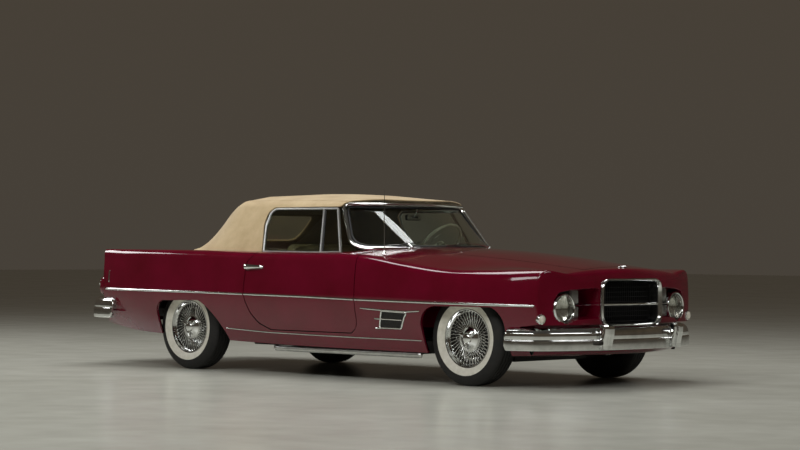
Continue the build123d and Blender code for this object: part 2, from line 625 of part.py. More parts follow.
axle_tube = rod((REAR_AXLE_X, -PLATE_Y[0], TYRE_R), (REAR_AXLE_X, PLATE_Y[0], TYRE_R), TUBE_R)
diff = Pos(REAR_AXLE_X, 0, TYRE_R) * ring(DIFF_R, 0, -DIFF_HALF, DIFF_HALF)
diff_nose = rod((REAR_AXLE_X, 0, TYRE_R), (REAR_AXLE_X + 260, 0, TYRE_R), 62)
propshaft = rod((REAR_AXLE_X + 200, 0, TYRE_R), (GEARBOX_X - 2, 0, TYRE_R + 10), PROP_R)
rear_plate = both(Pos(REAR_AXLE_X, 0, TYRE_R) * ring(PLATE_R, 0, *PLATE_Y))
rear_spindle = both(rod(
    (REAR_AXLE_X, PLATE_Y[0], TYRE_R), (REAR_AXLE_X, wheel_y + SPINDLE_END_Y, TYRE_R), SPINDLE_R
))
spring_top = TYRE_R - TUBE_R + 4
leaf = block(*SPRING_X, *SPRING_Y, spring_top - SPRING_T, spring_top)
EYE_Z = spring_top - 30
front_eye = rod((SPRING_X[1], RAIL_Y + RAIL_W, EYE_Z), (SPRING_X[1], SPRING_Y[1], EYE_Z), EYE_R)
shackle = block(
    SPRING_X[0] - 15, SPRING_X[0] + 15, SPRING_Y[0] + 15, SPRING_Y[1] - 15, spring_top - SPRING_T, 430
)
rear_eye = rod((SPRING_X[0], RAIL_Y + RAIL_W, 430), (SPRING_X[0], SPRING_Y[1], 430), EYE_R)
springs = both(leaf + front_eye + shackle + rear_eye)
save("rear_axle", axle_tube + diff + diff_nose + propshaft + rear_plate + rear_spindle + springs)

EXHAUST_R = 22.0
EXHAUST_Y = 260.0
EXHAUST_ROUTE = [(1060, 400), (960, 262), (-850, 262), (-1080, 425), (-1480, 425), (-1720, 290), (-2400, 290)]
route = [(x, EXHAUST_Y, z) for x, z in EXHAUST_ROUTE]
exhaust = Part() + [rod(a, b, EXHAUST_R) for a, b in zip(route, route[1:])]
exhaust += [Pos(*p) * Sphere(EXHAUST_R) for p in route[1:-1]]
exhaust = exhaust - block(*ENGINE_X, -ENGINE_Y, ENGINE_Y, *ENGINE_Z)
save("exhaust", both(exhaust))
save("fuel_tank", block(-2060, -1600, -215, 215, 335, BOOT_FLOOR_Z))

# ---------------------------------------------------------------- windscreen, side windows and soft top
SCREEN_LOW = (955.0, 825.0, 435.0, 762.0)  # z, middle x, corner x, corner half width
SCREEN_HIGH = (1288.0, 392.0, 233.0, 648.0)
FRAME_T = 26.0
FRAME_H = 20.0
GLASS_T = 6.0


def screen_face(z, thick, back):
    """The windscreen's bowed section at one height, thick across and set back from its front face."""
    t = (z - SCREEN_LOW[0]) / (SCREEN_HIGH[0] - SCREEN_LOW[0])
    mid, corner, half = (lerp(SCREEN_LOW[i], SCREEN_HIGH[i], t) for i in (1, 2, 3))
    face = Wire([
        ThreePointArc((corner - back, -half), (mid - back, 0), (corner - back, half)),
        Line((corner - back, half), (corner - back - thick, half)),
        ThreePointArc((corner - back - thick, half), (mid - back - thick, 0), (corner - back - thick, -half)),
        Line((corner - back - thick, -half), (corner - back, -half)),
    ])
    return Pos(0, 0, z) * face


def screen_slab(z0, z1, thick, back):
    """The stretch of the windscreen's shell between two heights."""
    return Solid.make_loft([screen_face(z0, thick, back), screen_face(z1, thick, back)], ruled=True)


PILLAR_LOW = (388.0, 470.0, 757.0, 836.0)  # x and y ranges at the foot
PILLAR_HIGH = (196.0, 262.0, 640.0, 680.0)
PILLAR_Z0 = 905.0


def pillar_wire(z, ranges):
    """One corner post's section."""
    x0, x1, y0, y1 = ranges
    return Pos(0, 0, z) * Wire(Polyline((x0, y0), (x1, y0), (x1, y1), (x0, y1), close=True).edges())


pillar_ends = [pillar_wire(PILLAR_Z0, PILLAR_LOW), pillar_wire(SCREEN_HIGH[0], PILLAR_HIGH)]
pillar = Solid.make_loft(pillar_ends, ruled=True)
base_bar = screen_slab(SCREEN_LOW[0], SCREEN_LOW[0] + FRAME_H, FRAME_T, 0)
header_bar = screen_slab(SCREEN_HIGH[0] - FRAME_H, SCREEN_HIGH[0], FRAME_T, 0)
glass_slab = screen_slab(SCREEN_LOW[0] + FRAME_H, SCREEN_HIGH[0] - FRAME_H, GLASS_T, 8)
screen_frame = base_bar + header_bar + both(pillar) - HULL
screen_frame = screen_frame - glass_slab
save("windscreen_frame", screen_frame)
save("windscreen_glass", glass_slab - both(pillar) - HULL)

WINDOW_LOW = (905.0, 868.0)  # z and y of the door glass at its foot
WINDOW_HIGH = (1252.0, 708.0)
WINDOW_T = 12.0
WINDOW_OUTLINE = [(425, 900), (233, 1252), (-330, 1252), (-372, 1225), (-388, 1180), (-388, 900)]
lean = math.degrees(math.atan2(WINDOW_LOW[1] - WINDOW_HIGH[1], WINDOW_HIGH[0] - WINDOW_LOW[0]))
window_plane = Plane(origin=(0, WINDOW_LOW[1], WINDOW_LOW[0])).rotated((lean, 0, 0))
slab = window_plane * Pos(0, 0, 200) * Box(3000, WINDOW_T, 900)
window = (slab & side_prism(WINDOW_OUTLINE, 500, 1000)) - door
save("door_window_left", window)
save("door_window_right", mirror(window, Plane.XZ))

# Soft top sections. Each row: x; half width and z of the foot; half width and z of the rail; z of the crown.
ROOF = [
    (420, 640, 1288, 628, 1300, 1322),
    (233, 694, 1262, 668, 1292, 1350),
    (-400, 716, 1260, 690, 1296, 1384),
]
QUARTER = [
    (-400, 872, 925, 690, 1296, 1384),
    (-960, 866, 925, 668, 1290, 1374),
    (-1190, 828, 925, 655, 1112, 1290),
    (-1378, 760, 925, 640, 960, 1130),
    (-1560, 560, 925, 520, 938, 952),
]
CANVAS_T = 18.0


def top_wire(row, inset, drop):
    """The outline of the soft top at one place along the car."""
    x, y_foot, z_foot, y_rail, z_rail, z_crown = row
    foot = (y_foot - inset, z_foot - drop)
    rail = (y_rail - inset, z_rail - inset)
    crown = ThreePointArc(rail, (0, z_crown - inset), (-rail[0], rail[1]))
    floor = Line((-foot[0], foot[1]), foot)
    far_side = Line((-rail[0], rail[1]), (-foot[0], foot[1]))
    return side_plane(x) * Wire([floor, Line(foot, rail), crown, far_side])


def top_shell(rows, shift):
    """A stretch of the soft top as a shell, open below; shift moves the hollow along the car."""
    outer = Solid.make_loft([top_wire(row, 0, 0) for row in rows], ruled=True)
    inner = Solid.make_loft([top_wire((row[0] + shift, *row[1:]), CANVAS_T, 40) for row in rows], ruled=True)
    return outer, inner


roof_outer, roof_inner = top_shell(ROOF, 0)
quarter_outer, quarter_inner = top_shell(QUARTER, CANVAS_T)
front_trim = bow_cut(SCREEN_HIGH[1] + 6, SCREEN_HIGH[2] + 6, SCREEN_HIGH[3], 1)
roof = roof_outer - roof_inner - (Pos(0, 0, 600) * front_trim)
roof = roof - block(150, 600, -WIDE, WIDE, 0, SCREEN_HIGH[0] + SOFT_GAP)
canopy = roof + (quarter_outer - quarter_inner - roof_inner)
canopy = canopy - (Pos(0, 0, SOFT_GAP) * HULL)
save("soft_top", canopy)

# ---------------------------------------------------------------- grille, lamps
RING_X = (2372.0, 2478.0)
RING_T = 18.0
BAR_Z = 578.0
BAR_H = 16.0
RADIATOR_X = (2272.0, 2318.0)
RADIATOR_Z = (370.0, 740.0)
INSERT_X = (2268.0, 2300.0)
INSERT_Y = (400.0, 526.0)
INSERT_Z = (560.0, 684.0)
SLATS = 7
COVE_T = 6.0
COVE_LIP_X = 2425.0
BOWL_X = (2240.0, 2348.0)

ring_face = mouth_face(0) - mouth_face(-RING_T)
grille_ring = Pos(RING_X[0], 0, 0) * extrude(ring_face, RING_X[1] - RING_X[0])
bar_half = MOUTH_HALF - RING_T + 4
grille_bar = block(RING_X[0] + 40, RING_X[0] + 70, -bar_half, bar_half, BAR_Z - BAR_H / 2, BAR_Z + BAR_H / 2)
save("grille", grille_ring + grille_bar)
radiator = block(*RADIATOR_X, -330, 330, *RADIATOR_Z)
save("radiator", radiator)

slat_pitch = (INSERT_Z[1] - INSERT_Z[0]) / SLATS
cove_back = block(INSERT_X[0] - COVE_T, INSERT_X[0], *INSERT_Y, COVE_LOW + SOFT_GAP, COVE_HIGH - SOFT_GAP)
cove_roof = block(INSERT_X[0], COVE_LIP_X, *INSERT_Y, COVE_HIGH - SOFT_GAP - COVE_T, COVE_HIGH - SOFT_GAP)
cove_foot = block(INSERT_X[0], COVE_LIP_X, *INSERT_Y, COVE_LOW + SOFT_GAP, COVE_LOW + SOFT_GAP + COVE_T)
insert = cove_back + cove_roof + cove_foot
for i in range(SLATS):
    slat_z = INSERT_Z[0] + slat_pitch * (i + 0.5)
    insert += block(INSERT_X[0], INSERT_X[1], *INSERT_Y, slat_z - 3, slat_z + 3)
save("cove_grilles", both(insert))

bowl = rod((BOWL_X[0], LAMP_Y, LAMP_Z), (BOWL_X[1], LAMP_Y, LAMP_Z), LAMP_R)
lens = Pos(BOWL_X[1] + 10, LAMP_Y, LAMP_Z) * Rot(0, 90, 0) * Cone(LAMP_R - 12, LAMP_R - 50, 20)
save("headlamps", both(bowl + lens))

tail_pod = rod((-2225, TAIL_LAMP_Y, TAIL_LAMP_Z), (-2290, TAIL_LAMP_Y, TAIL_LAMP_Z), TAIL_LAMP_R)
save("tail_lamps", both(tail_pod))

parking = rod((2270, PARK_Y, PARK_Z), (2345, PARK_Y, PARK_Z), PARK_R)
save("parking_lamps", both(parking))

# ---------------------------------------------------------------- bumpers
# Plan lines: middle x; wing x and y; corner x and y; end x and y
FRONT_BUMPER = (2562.0, 2405.0, 700.0, 2300.0, 878.0, 2085.0, 968.0)
REAR_BUMPER = (-2585.0, -2475.0, 700.0, -2390.0, 900.0, -2065.0, 990.0)


def bumper_band(plan, z0, z1, out, back):
    """A bumper bar bowed across the car and round its corners, between two offsets from its plan line."""
    x_mid, x_wing, y_wing, x_corner, y_corner, x_end, y_end = plan
    sign = 1 if x_mid > 0 else -1
    edges = []
    for off in (out, back):
        mid = (x_mid + sign * off, 0)
        wing = (x_wing + sign * off * 0.95, y_wing + off * 0.3)
        corner = (x_corner + sign * off * 0.7, y_corner + off * 0.7)
        end = (x_end, y_end + off)
        swell = ((wing[0] + corner[0]) / 2 + sign * 10, (wing[1] + corner[1]) / 2 + 8)
        bend = ((corner[0] + end[0]) / 2 + sign * 12, (corner[1] + end[1]) / 2 + 16)
        edges.append([
            ThreePointArc((wing[0], -wing[1]), mid, wing),
            ThreePointArc(wing, swell, corner),
            ThreePointArc(corner, bend, end),
        ])
    outline = []
    for front, side, tip in edges:
        outline += [front, side, tip, side.mirror(Plane.XZ), tip.mirror(Plane.XZ)]
    outer_end = (x_end, y_end + out)
    inner_end = (x_end, y_end + back)
    outline.append(Line(outer_end, inner_end))
    outline.append(Line((outer_end[0], -outer_end[1]), (inner_end[0], -inner_end[1])))
    return Pos(0, 0, z0) * extrude(Face(Wire(outline)), z1 - z0, dir=(0, 0, 1))


GUARD_Y = 396.0
GUARD_HALF = 34.0
GUARD_SHAPE = [(2478, 440), (2585, 425), (2560, 272), (2478, 272)]
PLATE_SPACING = (177.8, 120.65)
PLATE_HOLE_R = 3.5
REAR_BAR_Z = (382.0, 548.0)

front_bar_piece = bumper_band(FRONT_BUMPER, 268, 345, 0, -26) + bumper_band(FRONT_BUMPER, 338, 425, -12, -44)
guards = both(side_prism(GUARD_SHAPE, GUARD_Y - GUARD_HALF, GUARD_Y + GUARD_HALF))
front_irons = both(block(2330, 2520, *IRON_Y, *FRONT_IRON_Z))
save("front_bumper", front_bar_piece + guards + front_irons)

rear_bar_piece = bumper_band(REAR_BUMPER, *REAR_BAR_Z, 0, -32)
plate_z = sum(REAR_BAR_Z) / 2
for y in (-PLATE_SPACING[0] / 2, PLATE_SPACING[0] / 2):
    for z in (plate_z - PLATE_SPACING[1] / 2, plate_z + PLATE_SPACING[1] / 2):
        rear_bar_piece -= rod((REAR_BUMPER[0] - 20, y, z), (REAR_BUMPER[0] + 60, y, z), PLATE_HOLE_R)
rear_irons = both(block(-2530, -2150, *IRON_Y, *REAR_IRON_Z))
save("rear_bumper", rear_bar_piece + rear_irons)

# ---------------------------------------------------------------- cabin
SEAT_Y = 690.0
seat_base = block(-230, 290, -SEAT_Y, SEAT_Y, FLOOR_Z + FLOOR_T + SOFT_GAP, 585)
seat_base -= block(-400, 400, -TUNNEL_Y - SOFT_GAP, TUNNEL_Y + SOFT_GAP, 0, TUNNEL_Z + SOFT_GAP)
seat_back = side_prism([(-230, 470), (-110, 470), (-260, 1000), (-340, 1000)], -SEAT_Y, SEAT_Y)
save("front_seat", seat_base + seat_back)
rear_base = block(-1150, -700, -600, 600, HEEL_Z + FLOOR_T + SOFT_GAP, 640)
rear_back = side_prism([(-1150, 500), (-1020, 500), (-1160, 960), (-1240, 960)], -600, 600)
save("rear_seat", rear_base + rear_back)

DASH_Z = (740.0, 880.0)
DASH_Y = 740.0
dash = block(520, FIREWALL_X, -DASH_Y, DASH_Y, *DASH_Z)
COLUMN_FOOT = (684.0, 400.0, 652.6)
COLUMN_HEAD = (262.0, 400.0, 985.0)
column_axis = Vector(*COLUMN_HEAD) - Vector(*COLUMN_FOOT)
column_axis = column_axis / column_axis.length
column = rod(COLUMN_FOOT, tuple(Vector(*COLUMN_HEAD) - column_axis * 24), 24)
save("dashboard", dash + column)
wheel_plane = Plane(origin=COLUMN_HEAD, z_dir=column_axis)
STEER_R = 205.0
rim = wheel_plane * Torus(STEER_R, 11)
boss = wheel_plane * Pos(0, 0, -5) * Cylinder(34, 36)
spokes = [wheel_plane * Rot(0, 0, a) * Pos(STEER_R / 2, 0, 0) * Box(STEER_R, 26, 8) for a in (0, 180)]
save("steering_wheel", rim + boss + spokes)
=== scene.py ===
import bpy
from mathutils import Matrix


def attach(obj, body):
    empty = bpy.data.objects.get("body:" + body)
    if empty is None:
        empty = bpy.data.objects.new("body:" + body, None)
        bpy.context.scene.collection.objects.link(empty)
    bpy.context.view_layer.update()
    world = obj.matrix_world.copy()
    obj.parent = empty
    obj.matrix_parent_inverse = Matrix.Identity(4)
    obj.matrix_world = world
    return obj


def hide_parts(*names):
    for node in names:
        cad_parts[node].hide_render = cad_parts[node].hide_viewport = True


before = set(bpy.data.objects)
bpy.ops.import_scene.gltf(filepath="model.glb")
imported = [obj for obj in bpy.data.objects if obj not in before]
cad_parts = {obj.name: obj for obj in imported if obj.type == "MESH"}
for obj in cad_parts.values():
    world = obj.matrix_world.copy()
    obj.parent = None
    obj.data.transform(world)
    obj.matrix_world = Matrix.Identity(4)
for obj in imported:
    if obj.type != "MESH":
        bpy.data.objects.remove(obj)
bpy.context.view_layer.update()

import math

import bpy
import bmesh
import numpy as np
from mathutils import Matrix, Vector

MM = 0.001

# ================================================================ forms
# Every shape is worked out in millimetres, in the car's own frame. make() turns it to metres.


def unit(v):
    """Vectors made one long."""
    v = np.asarray(v, float)
    return v / np.maximum(np.linalg.norm(v, axis=-1, keepdims=True), 1e-12)


def lerp(a, b, t):
    return a + (b - a) * t


class Form:
    """Points and faces gathered before they become one piece."""

    def __init__(self):
        self.points, self.faces, self.slots, self.count = [], [], [], 0

    def add(self, points, faces, slot=0):
        points = np.asarray(points, float).reshape(-1, 3)
        self.points.append(points)
        self.faces += [tuple(i + self.count for i in face) for face in faces]
        self.slots += [slot] * len(faces)
        self.count += len(points)
        return self

    def join(self, other):
        base = self.count
        self.points += other.points
        self.faces += [tuple(i + base for i in face) for face in other.faces]
        self.slots += other.slots
        self.count += other.count
        return self

    def cloud(self):
        return np.concatenate(self.points)

    def mirrored(self):
        """The same form on the car's other side."""
        other = Form()
        other.points = [p * (1, -1, 1) for p in self.points]
        other.faces = [face[::-1] for face in self.faces]
        other.slots = list(self.slots)
        other.count = self.count
        return other

    def both(self):
        """This form and its mirror image."""
        out = Form()
        out.join(self)
        return out.join(self.mirrored())

    def placed(self, origin, x_dir=(1, 0, 0), z_dir=(0, 0, 1)):
        """This form moved from its own axes to a place on the car."""
        z = unit(z_dir)
        x = unit(np.asarray(x_dir, float) - np.dot(x_dir, z) * z)
        y = np.cross(z, x)
        other = Form()
        other.points = [p @ np.array([x, y, z]) + np.asarray(origin, float) for p in self.points]
        other.faces, other.slots, other.count = list(self.faces), list(self.slots), self.count
        return other


def grid_faces(rows, columns, close_rows=False, close_columns=False):
    """Quads over a grid of points, row by row."""
    faces = []
    for i in range(rows if close_rows else rows - 1):
        k = (i + 1) % rows
        for j in range(columns if close_columns else columns - 1):
            n = (j + 1) % columns
            faces.append((i * columns + j, k * columns + j, k * columns + n, i * columns + n))
    return faces


def skin(sections, slot=0, closed=False, ring=True, caps=True):
    """A form through a row of sections, each with the same number of points."""
    sections = np.asarray(sections, float)
    rows, columns = sections.shape[:2]
    faces = grid_faces(rows, columns, closed, ring)
    if caps and ring and not closed:
        faces.append(tuple(range(columns)))
        faces.append(tuple(reversed(range((rows - 1) * columns, rows * columns))))
    return Form().add(sections, faces, slot)


def facing(points, normals, faces, probe):
    """The same faces, all turned over if the probed one looks against the normals."""
    a, b, c = (points[k] for k in faces[probe][:3])
    if np.cross(b - a, c - a) @ normals[faces[probe][0]] < 0:
        return [face[::-1] for face in faces]
    return faces


def rim_edges(faces):
    """The edges, as (from, to), that only one face has."""
    edges = {(a, b): None for face in faces for a, b in zip(face, face[1:] + face[:1])}
    return [(a, b) for a, b in edges if (b, a) not in edges]


def spline(points, count):
    """A smooth line of count points through the given ones."""
    p = np.asarray(points, float)
    spans = len(p) - 1
    p = np.concatenate([2 * p[:1] - p[1:2], p, 2 * p[-1:] - p[-2:-1]])
    t = np.linspace(0, spans, count)
    k = np.minimum(t.astype(int), spans - 1)
    f = (t - k)[:, None]
    a, b, c, d = p[k], p[k + 1], p[k + 2], p[k + 3]
    return 0.5 * (2 * b + (c - a) * f + (2 * a - 5 * b + 4 * c - d) * f**2 + (3 * b - a - 3 * c + d) * f**3)


def even(points, step, closed=False):
    """The same line with points about step apart."""
    p = np.asarray(points, float)
    if closed:
        p = np.concatenate([p, p[:1]])
    run = np.concatenate([[0], np.cumsum(np.linalg.norm(np.diff(p, axis=0), axis=1))])
    count = max(2, int(round(run[-1] / step)) + 1)
    at = np.linspace(0, run[-1], count)
    out = np.stack([np.interp(at, run, p[:, i]) for i in range(p.shape[1])], axis=1)
    return out[:-1] if closed else out


def tangents(path, closed=False):
    if closed:
        return unit(np.roll(path, -1, 0) - np.roll(path, 1, 0))
    return unit(np.gradient(path, axis=0))


def carried(path, side, top, profile, scale):
    """The sections of a profile carried along a path, its two directions given at each point."""
    profile = np.asarray(profile, float)
    size = np.ones(len(path)) if scale is None else np.asarray(scale, float)
    return (
        path[:, None]
        + side[:, None] * (profile[None, :, 0] * size[:, None])[..., None]
        + top[:, None] * (profile[None, :, 1] * size[:, None])[..., None]
    )


def sweep(path, profile, slot=0, scale=None):
    """A profile of (side, up) offsets carried along a path. Side is to the right of the way along."""
    path = np.asarray(path, float)
    along = tangents(path)
    side = unit(np.cross(along, (0.0, 0.0, 1.0)))
    return skin(carried(path, side, np.cross(side, along), profile, scale), slot)


def angles(count):
    """Angles all round, the last one short of a full turn."""
    return np.linspace(0, 2 * np.pi, count, endpoint=False)


def circle(radius, sides, flat=1.0):
    a = angles(sides)
    return np.stack([np.cos(a) * radius, np.sin(a) * radius * flat], axis=1)


def tube(path, radius, sides=12, slot=0, closed=False):
    """A round bar along a path, its frame carried without twist. The radius may change along it."""
    path = np.asarray(path, float)
    along = tangents(path, closed)
    normal = np.cross(along[0], (0, 0, 1))
    if np.linalg.norm(normal) < 0.1:
        normal = np.cross(along[0], (0, 1, 0))
    normals = []
    for t in along:
        normal = unit(normal - np.dot(normal, t) * t)
        normals.append(normal)
    normals = np.array(normals)
    others = np.cross(along, normals)
    a = angles(sides)
    r = np.broadcast_to(np.asarray(radius, float), len(path))
    sections = path[:, None] + r[:, None, None] * (
        np.cos(a)[None, :, None] * normals[:, None] + np.sin(a)[None, :, None] * others[:, None]
    )
    return skin(sections, slot, closed)


def lathe(profile, sides=48, slot=0):
    """A form turned about its own z axis from a closed loop of (radius, z)."""
    a = angles(sides)
    profile = np.asarray(profile, float)
    points = np.stack([
        profile[:, None, 0] * np.cos(a),
        profile[:, None, 0] * np.sin(a),
        np.broadcast_to(profile[:, None, 1], (len(profile), sides)),
    ], axis=-1)
    return skin(points, slot, True)


def rounded(points, radius, steps=5, closed=True):
    """A line whose corners are turned into arcs."""
    p = [np.asarray(q, float) for q in points]
    n = len(p)
    out = []
    for i in range(n):
        if not closed and i in (0, n - 1):
            out.append(p[i])
            continue
        a, b, c = p[i - 1], p[i], p[(i + 1) % n]
        u, v = a - b, c - b
        lu, lv = np.linalg.norm(u), np.linalg.norm(v)
        u, v = u / lu, v / lv
        half = math.acos(max(-1.0, min(1.0, float(u @ v)))) / 2
        if half > math.pi / 2 - 0.02:
            out.append(b)
            continue
        r = radius[i] if hasattr(radius, "__len__") else radius
        cut = min(r / math.tan(half), lu * 0.48, lv * 0.48)
        start, end = b + u * cut, b + v * cut
        for k in range(steps + 1):
            t = k / steps
            out.append((1 - t) ** 2 * start + 2 * t * (1 - t) * b + t**2 * end)
    return np.array(out)


def offset(outline, out):
    """A closed flat outline moved outwards all round."""
    p = np.asarray(outline, float)
    area = np.sum(p[:, 0] * np.roll(p[:, 1], -1) - np.roll(p[:, 0], -1) * p[:, 1])
    t = unit(np.roll(p, -1, 0) - np.roll(p, 1, 0))
    n = np.stack([t[:, 1], -t[:, 0]], axis=1) * np.sign(area)
    return p + n * out


def level(outline, z):
    """A flat outline as points at one height."""
    return np.column_stack([outline, np.full(len(outline), z)])


def slab(outline, thick, bevel, slot=0, back=0.0, crown=0.0):
    """A flat outline in x and y given thickness along z, with rounded edges and a slightly crowned face."""
    outline = np.asarray(outline, float)
    front = back + thick
    steps = ((0, back), (0, front - bevel), (bevel * 0.3, front - bevel * 0.3), (bevel, front))
    rings = [level(offset(outline, -inset), z) for inset, z in steps]
    centre = outline.mean(0)
    if crown:
        for share in (0.66, 0.33):
            q = centre + (rings[3][:, :2] - centre) * share
            rings.append(level(q, front + crown * (1 - share**2)))
    return skin(rings, slot)


def box(x0, x1, y0, y1, z0, z1, edge, slot):
    """A block with rounded edges."""
    outline = rounded([(x0, y0), (x1, y0), (x1, y1), (x0, y1)], edge, 3)
    part = edge * 0.3
    steps = ((edge, z0), (part, z0 + part), (0, z0 + edge), (0, z1 - edge), (part, z1 - part), (edge, z1))
    return skin([level(offset(outline, -inset * 0.9), z) for inset, z in steps], slot)


# ================================================================ materials


def srgb(text):
    """A colour written as in a paint book, as linear light."""
    c = [int(text[i:i + 2], 16) / 255 for i in (0, 2, 4)]
    return tuple(v / 12.92 if v <= 0.04045 else ((v + 0.055) / 1.055) ** 2.4 for v in c) + (1.0,)


def set_stops(ramp, stops):
    """Gives a colour ramp its stops, as (position, colour)."""
    while len(ramp.elements) < len(stops):
        ramp.elements.new(0.5)
    for element, (where, colour) in zip(ramp.elements, stops):
        element.position = where
        element.color = colour


class Nodes:
    """A short way to write a material's nodes."""

    def __init__(self, name):
        self.material = bpy.data.materials.new(name)
        self.material.use_nodes = True
        self.tree = self.material.node_tree
        self.shader = self.tree.nodes["Principled BSDF"]

    def node(self, kind, **values):
        made = self.tree.nodes.new(kind)
        for key, value in values.items():
            if hasattr(made, key):
                setattr(made, key, value)
            else:
                made.inputs[key.replace("_", " ")].default_value = value
        return made

    def link(self, a, b):
        self.tree.links.new(a, b)

    def place(self):
        """The object's own coordinates."""
        return self.node("ShaderNodeTexCoord").outputs["Object"]

    def noise(self, scale, detail, rough=0.5):
        made = self.node("ShaderNodeTexNoise", Scale=scale, Detail=detail, Roughness=rough)
        self.link(self.place(), made.inputs["Vector"])
        return made.outputs["Fac"]

    def voronoi(self, scale):
        made = self.node("ShaderNodeTexVoronoi", Scale=scale)
        self.link(self.place(), made.inputs["Vector"])
        return made.outputs["Distance"]

    def wave(self, scale, direction):
        made = self.node("ShaderNodeTexWave", Scale=scale, bands_direction=direction)
        self.link(self.place(), made.inputs["Vector"])
        return made.outputs["Fac"]

    def ramp(self, value, stops):
        """Colours along a value, stops of (position, colour)."""
        made = self.node("ShaderNodeValToRGB")
        set_stops(made.color_ramp, stops)
        self.link(value, made.inputs["Fac"])
        return made.outputs["Color"]

    def range(self, value, low, high):
        """A value from 0 to 1 turned into one from low to high."""
        made = self.node("ShaderNodeMapRange", To_Min=low, To_Max=high)
        self.link(value, made.inputs["Value"])
        return made.outputs["Result"]

    def math(self, kind, *values):
        made = self.node("ShaderNodeMath", operation=kind)
        for k, value in enumerate(values):
            self.link(value, made.inputs[k])
        return made.outputs["Value"]

    def colour(self, output):
        self.link(output, self.shader.inputs["Base Color"])

    def rough(self, output):
        self.link(output, self.shader.inputs["Roughness"])

    def bump(self, height, distance, strength):
        made = self.node("ShaderNodeBump", Distance=distance, Strength=strength)
        self.link(height, made.inputs["Height"])
        self.link(made.outputs["Normal"], self.shader.inputs["Normal"])

    def set(self, **values):
        for key, value in values.items():
            self.shader.inputs[key.replace("_", " ")].default_value = value
        return self


def paint_material(name, dark, light, rough=0.09, coat=1.0):
    """Old lacquer under polish: a deep colour, faint polish haze and a clear coat."""
    m = Nodes(name)
    m.colour(m.ramp(m.noise(2.2, 4, 0.6), [(0.3, srgb(dark)), (0.7, srgb(light))]))
    m.rough(m.range(m.noise(9, 5, 0.65), rough, rough + 0.08))
    m.bump(m.noise(55, 2, 0.4), 0.00002, 0.12)
    m.set(Coat_Weight=coat, Coat_Roughness=0.03, IOR=1.4)
    return m.material


def metal_material(name, dark, light, rough=0.06, spread=0.08, bump=0.00004):
    """Plated or bare metal with slight stains and polish marks."""
    m = Nodes(name)
    m.colour(m.ramp(m.noise(14, 5, 0.6), [(0.3, srgb(dark)), (0.65, srgb(light))]))
    m.rough(m.range(m.noise(26, 6, 0.65), rough, rough + spread))
    m.bump(m.noise(240, 4, 0.6), bump, 0.5)
    m.set(Metallic=1.0)
    return m.material


def rubber_material(name, dark, light, rough=0.75):
    """Rubber, soft plastic or thick enamel: dull, with a fine grain."""
    m = Nodes(name)
    m.colour(m.ramp(m.noise(30, 6, 0.65), [(0.3, srgb(dark)), (0.7, srgb(light))]))
    m.rough(m.range(m.noise(60, 4), rough - 0.1, rough + 0.1))
    m.bump(m.noise(900, 3), 0.0002, 0.4)
    return m.material


def leather_material(name, dark, light):
    """Grained hide, slightly shiny where it is smooth."""
    m = Nodes(name)
    m.colour(m.ramp(m.noise(7, 5, 0.6), [(0.3, srgb(dark)), (0.7, srgb(light))]))
    m.rough(m.range(m.noise(40, 4), 0.36, 0.52))
    m.bump(m.voronoi(420), 0.0006, 0.35)
    return m.material


def weave_material(name, dark, light, pitch=700.0, rough=0.85):
    """A woven canvas: crossed threads, faint streaks and soft stains."""
    m = Nodes(name)
    m.colour(m.ramp(m.noise(5, 6, 0.62), [(0.32, srgb(dark)), (0.68, srgb(light))]))
    m.rough(m.range(m.noise(25, 4), rough - 0.08, min(1.0, rough + 0.08)))
    a, b, c = (m.wave(pitch, way) for way in "XYZ")
    m.bump(m.math("ADD", m.math("MULTIPLY", a, b), c), 0.0005, 0.35)
    m.set(Sheen_Weight=0.25, Sheen_Roughness=0.5)
    return m.material


PAINT = paint_material("cranberry_lacquer", "580016", "660221", 0.05, 0.45)
CHROME = metal_material("chrome_plate", "c9cbca", "e6e7e6")
ALLOY = metal_material("brushed_alloy", "bfc0bd", "d4d5d2", 0.26, 0.12)
IRON = metal_material("chassis_iron", "2a2826", "4b4844", 0.5, 0.3, bump=0.0004)
CHASSIS = rubber_material("chassis_enamel", "0d0c0c", "1c1a19", 0.5)
RUBBER = rubber_material("tyre_rubber", "0c0b0a", "1e1c1a")
WHITEWALL = rubber_material("whitewall_rubber", "c9c6b8", "dedbcf", 0.55)
BLACK = rubber_material("black_trim", "090909", "161515", 0.55)
CANVAS = weave_material("canvas_tan", "b39a70", "cdb68c")
HEADLINER = weave_material("headliner_cloth", "8c7b5e", "a4936f", 900.0)
LEATHER = leather_material("seat_leather", "5e5234", "7a6c49")
LEATHER_RED = leather_material("seat_leather_red", "3c0a12", "521019")
CARPET = weave_material("carpet", "2c1413", "40201d", 300.0, 0.95)
IVORY = paint_material("ivory_plastic", "cfc8b0", "ddd7c3", 0.22, 0.3)
DASH_TOP = paint_material("dash_lacquer", "b9bab4", "c9cac4", 0.2, 0.4)


def glass_material(name, tint, rough=0.01):
    """Clear glass with a faint tint and slight smears."""
    m = Nodes(name)
    m.set(Base_Color=srgb(tint))
    m.rough(m.range(m.noise(12, 4), rough, rough + 0.02))
    m.set(Transmission_Weight=1.0, IOR=1.45)
    return m.material


GLASS = glass_material("window_glass", "e9f2ea")
LAMP_GLASS = glass_material("lamp_glass", "f4f4f0", 0.03)
VINYL = glass_material("clear_vinyl", "e6e0cc", 0.12)
RED_GLASS = paint_material("red_lens", "6a0208", "8e0a10", 0.06)
PALE_GLASS = paint_material("pale_lens", "cfcabb", "dedacb", 0.06)


# ================================================================ pieces


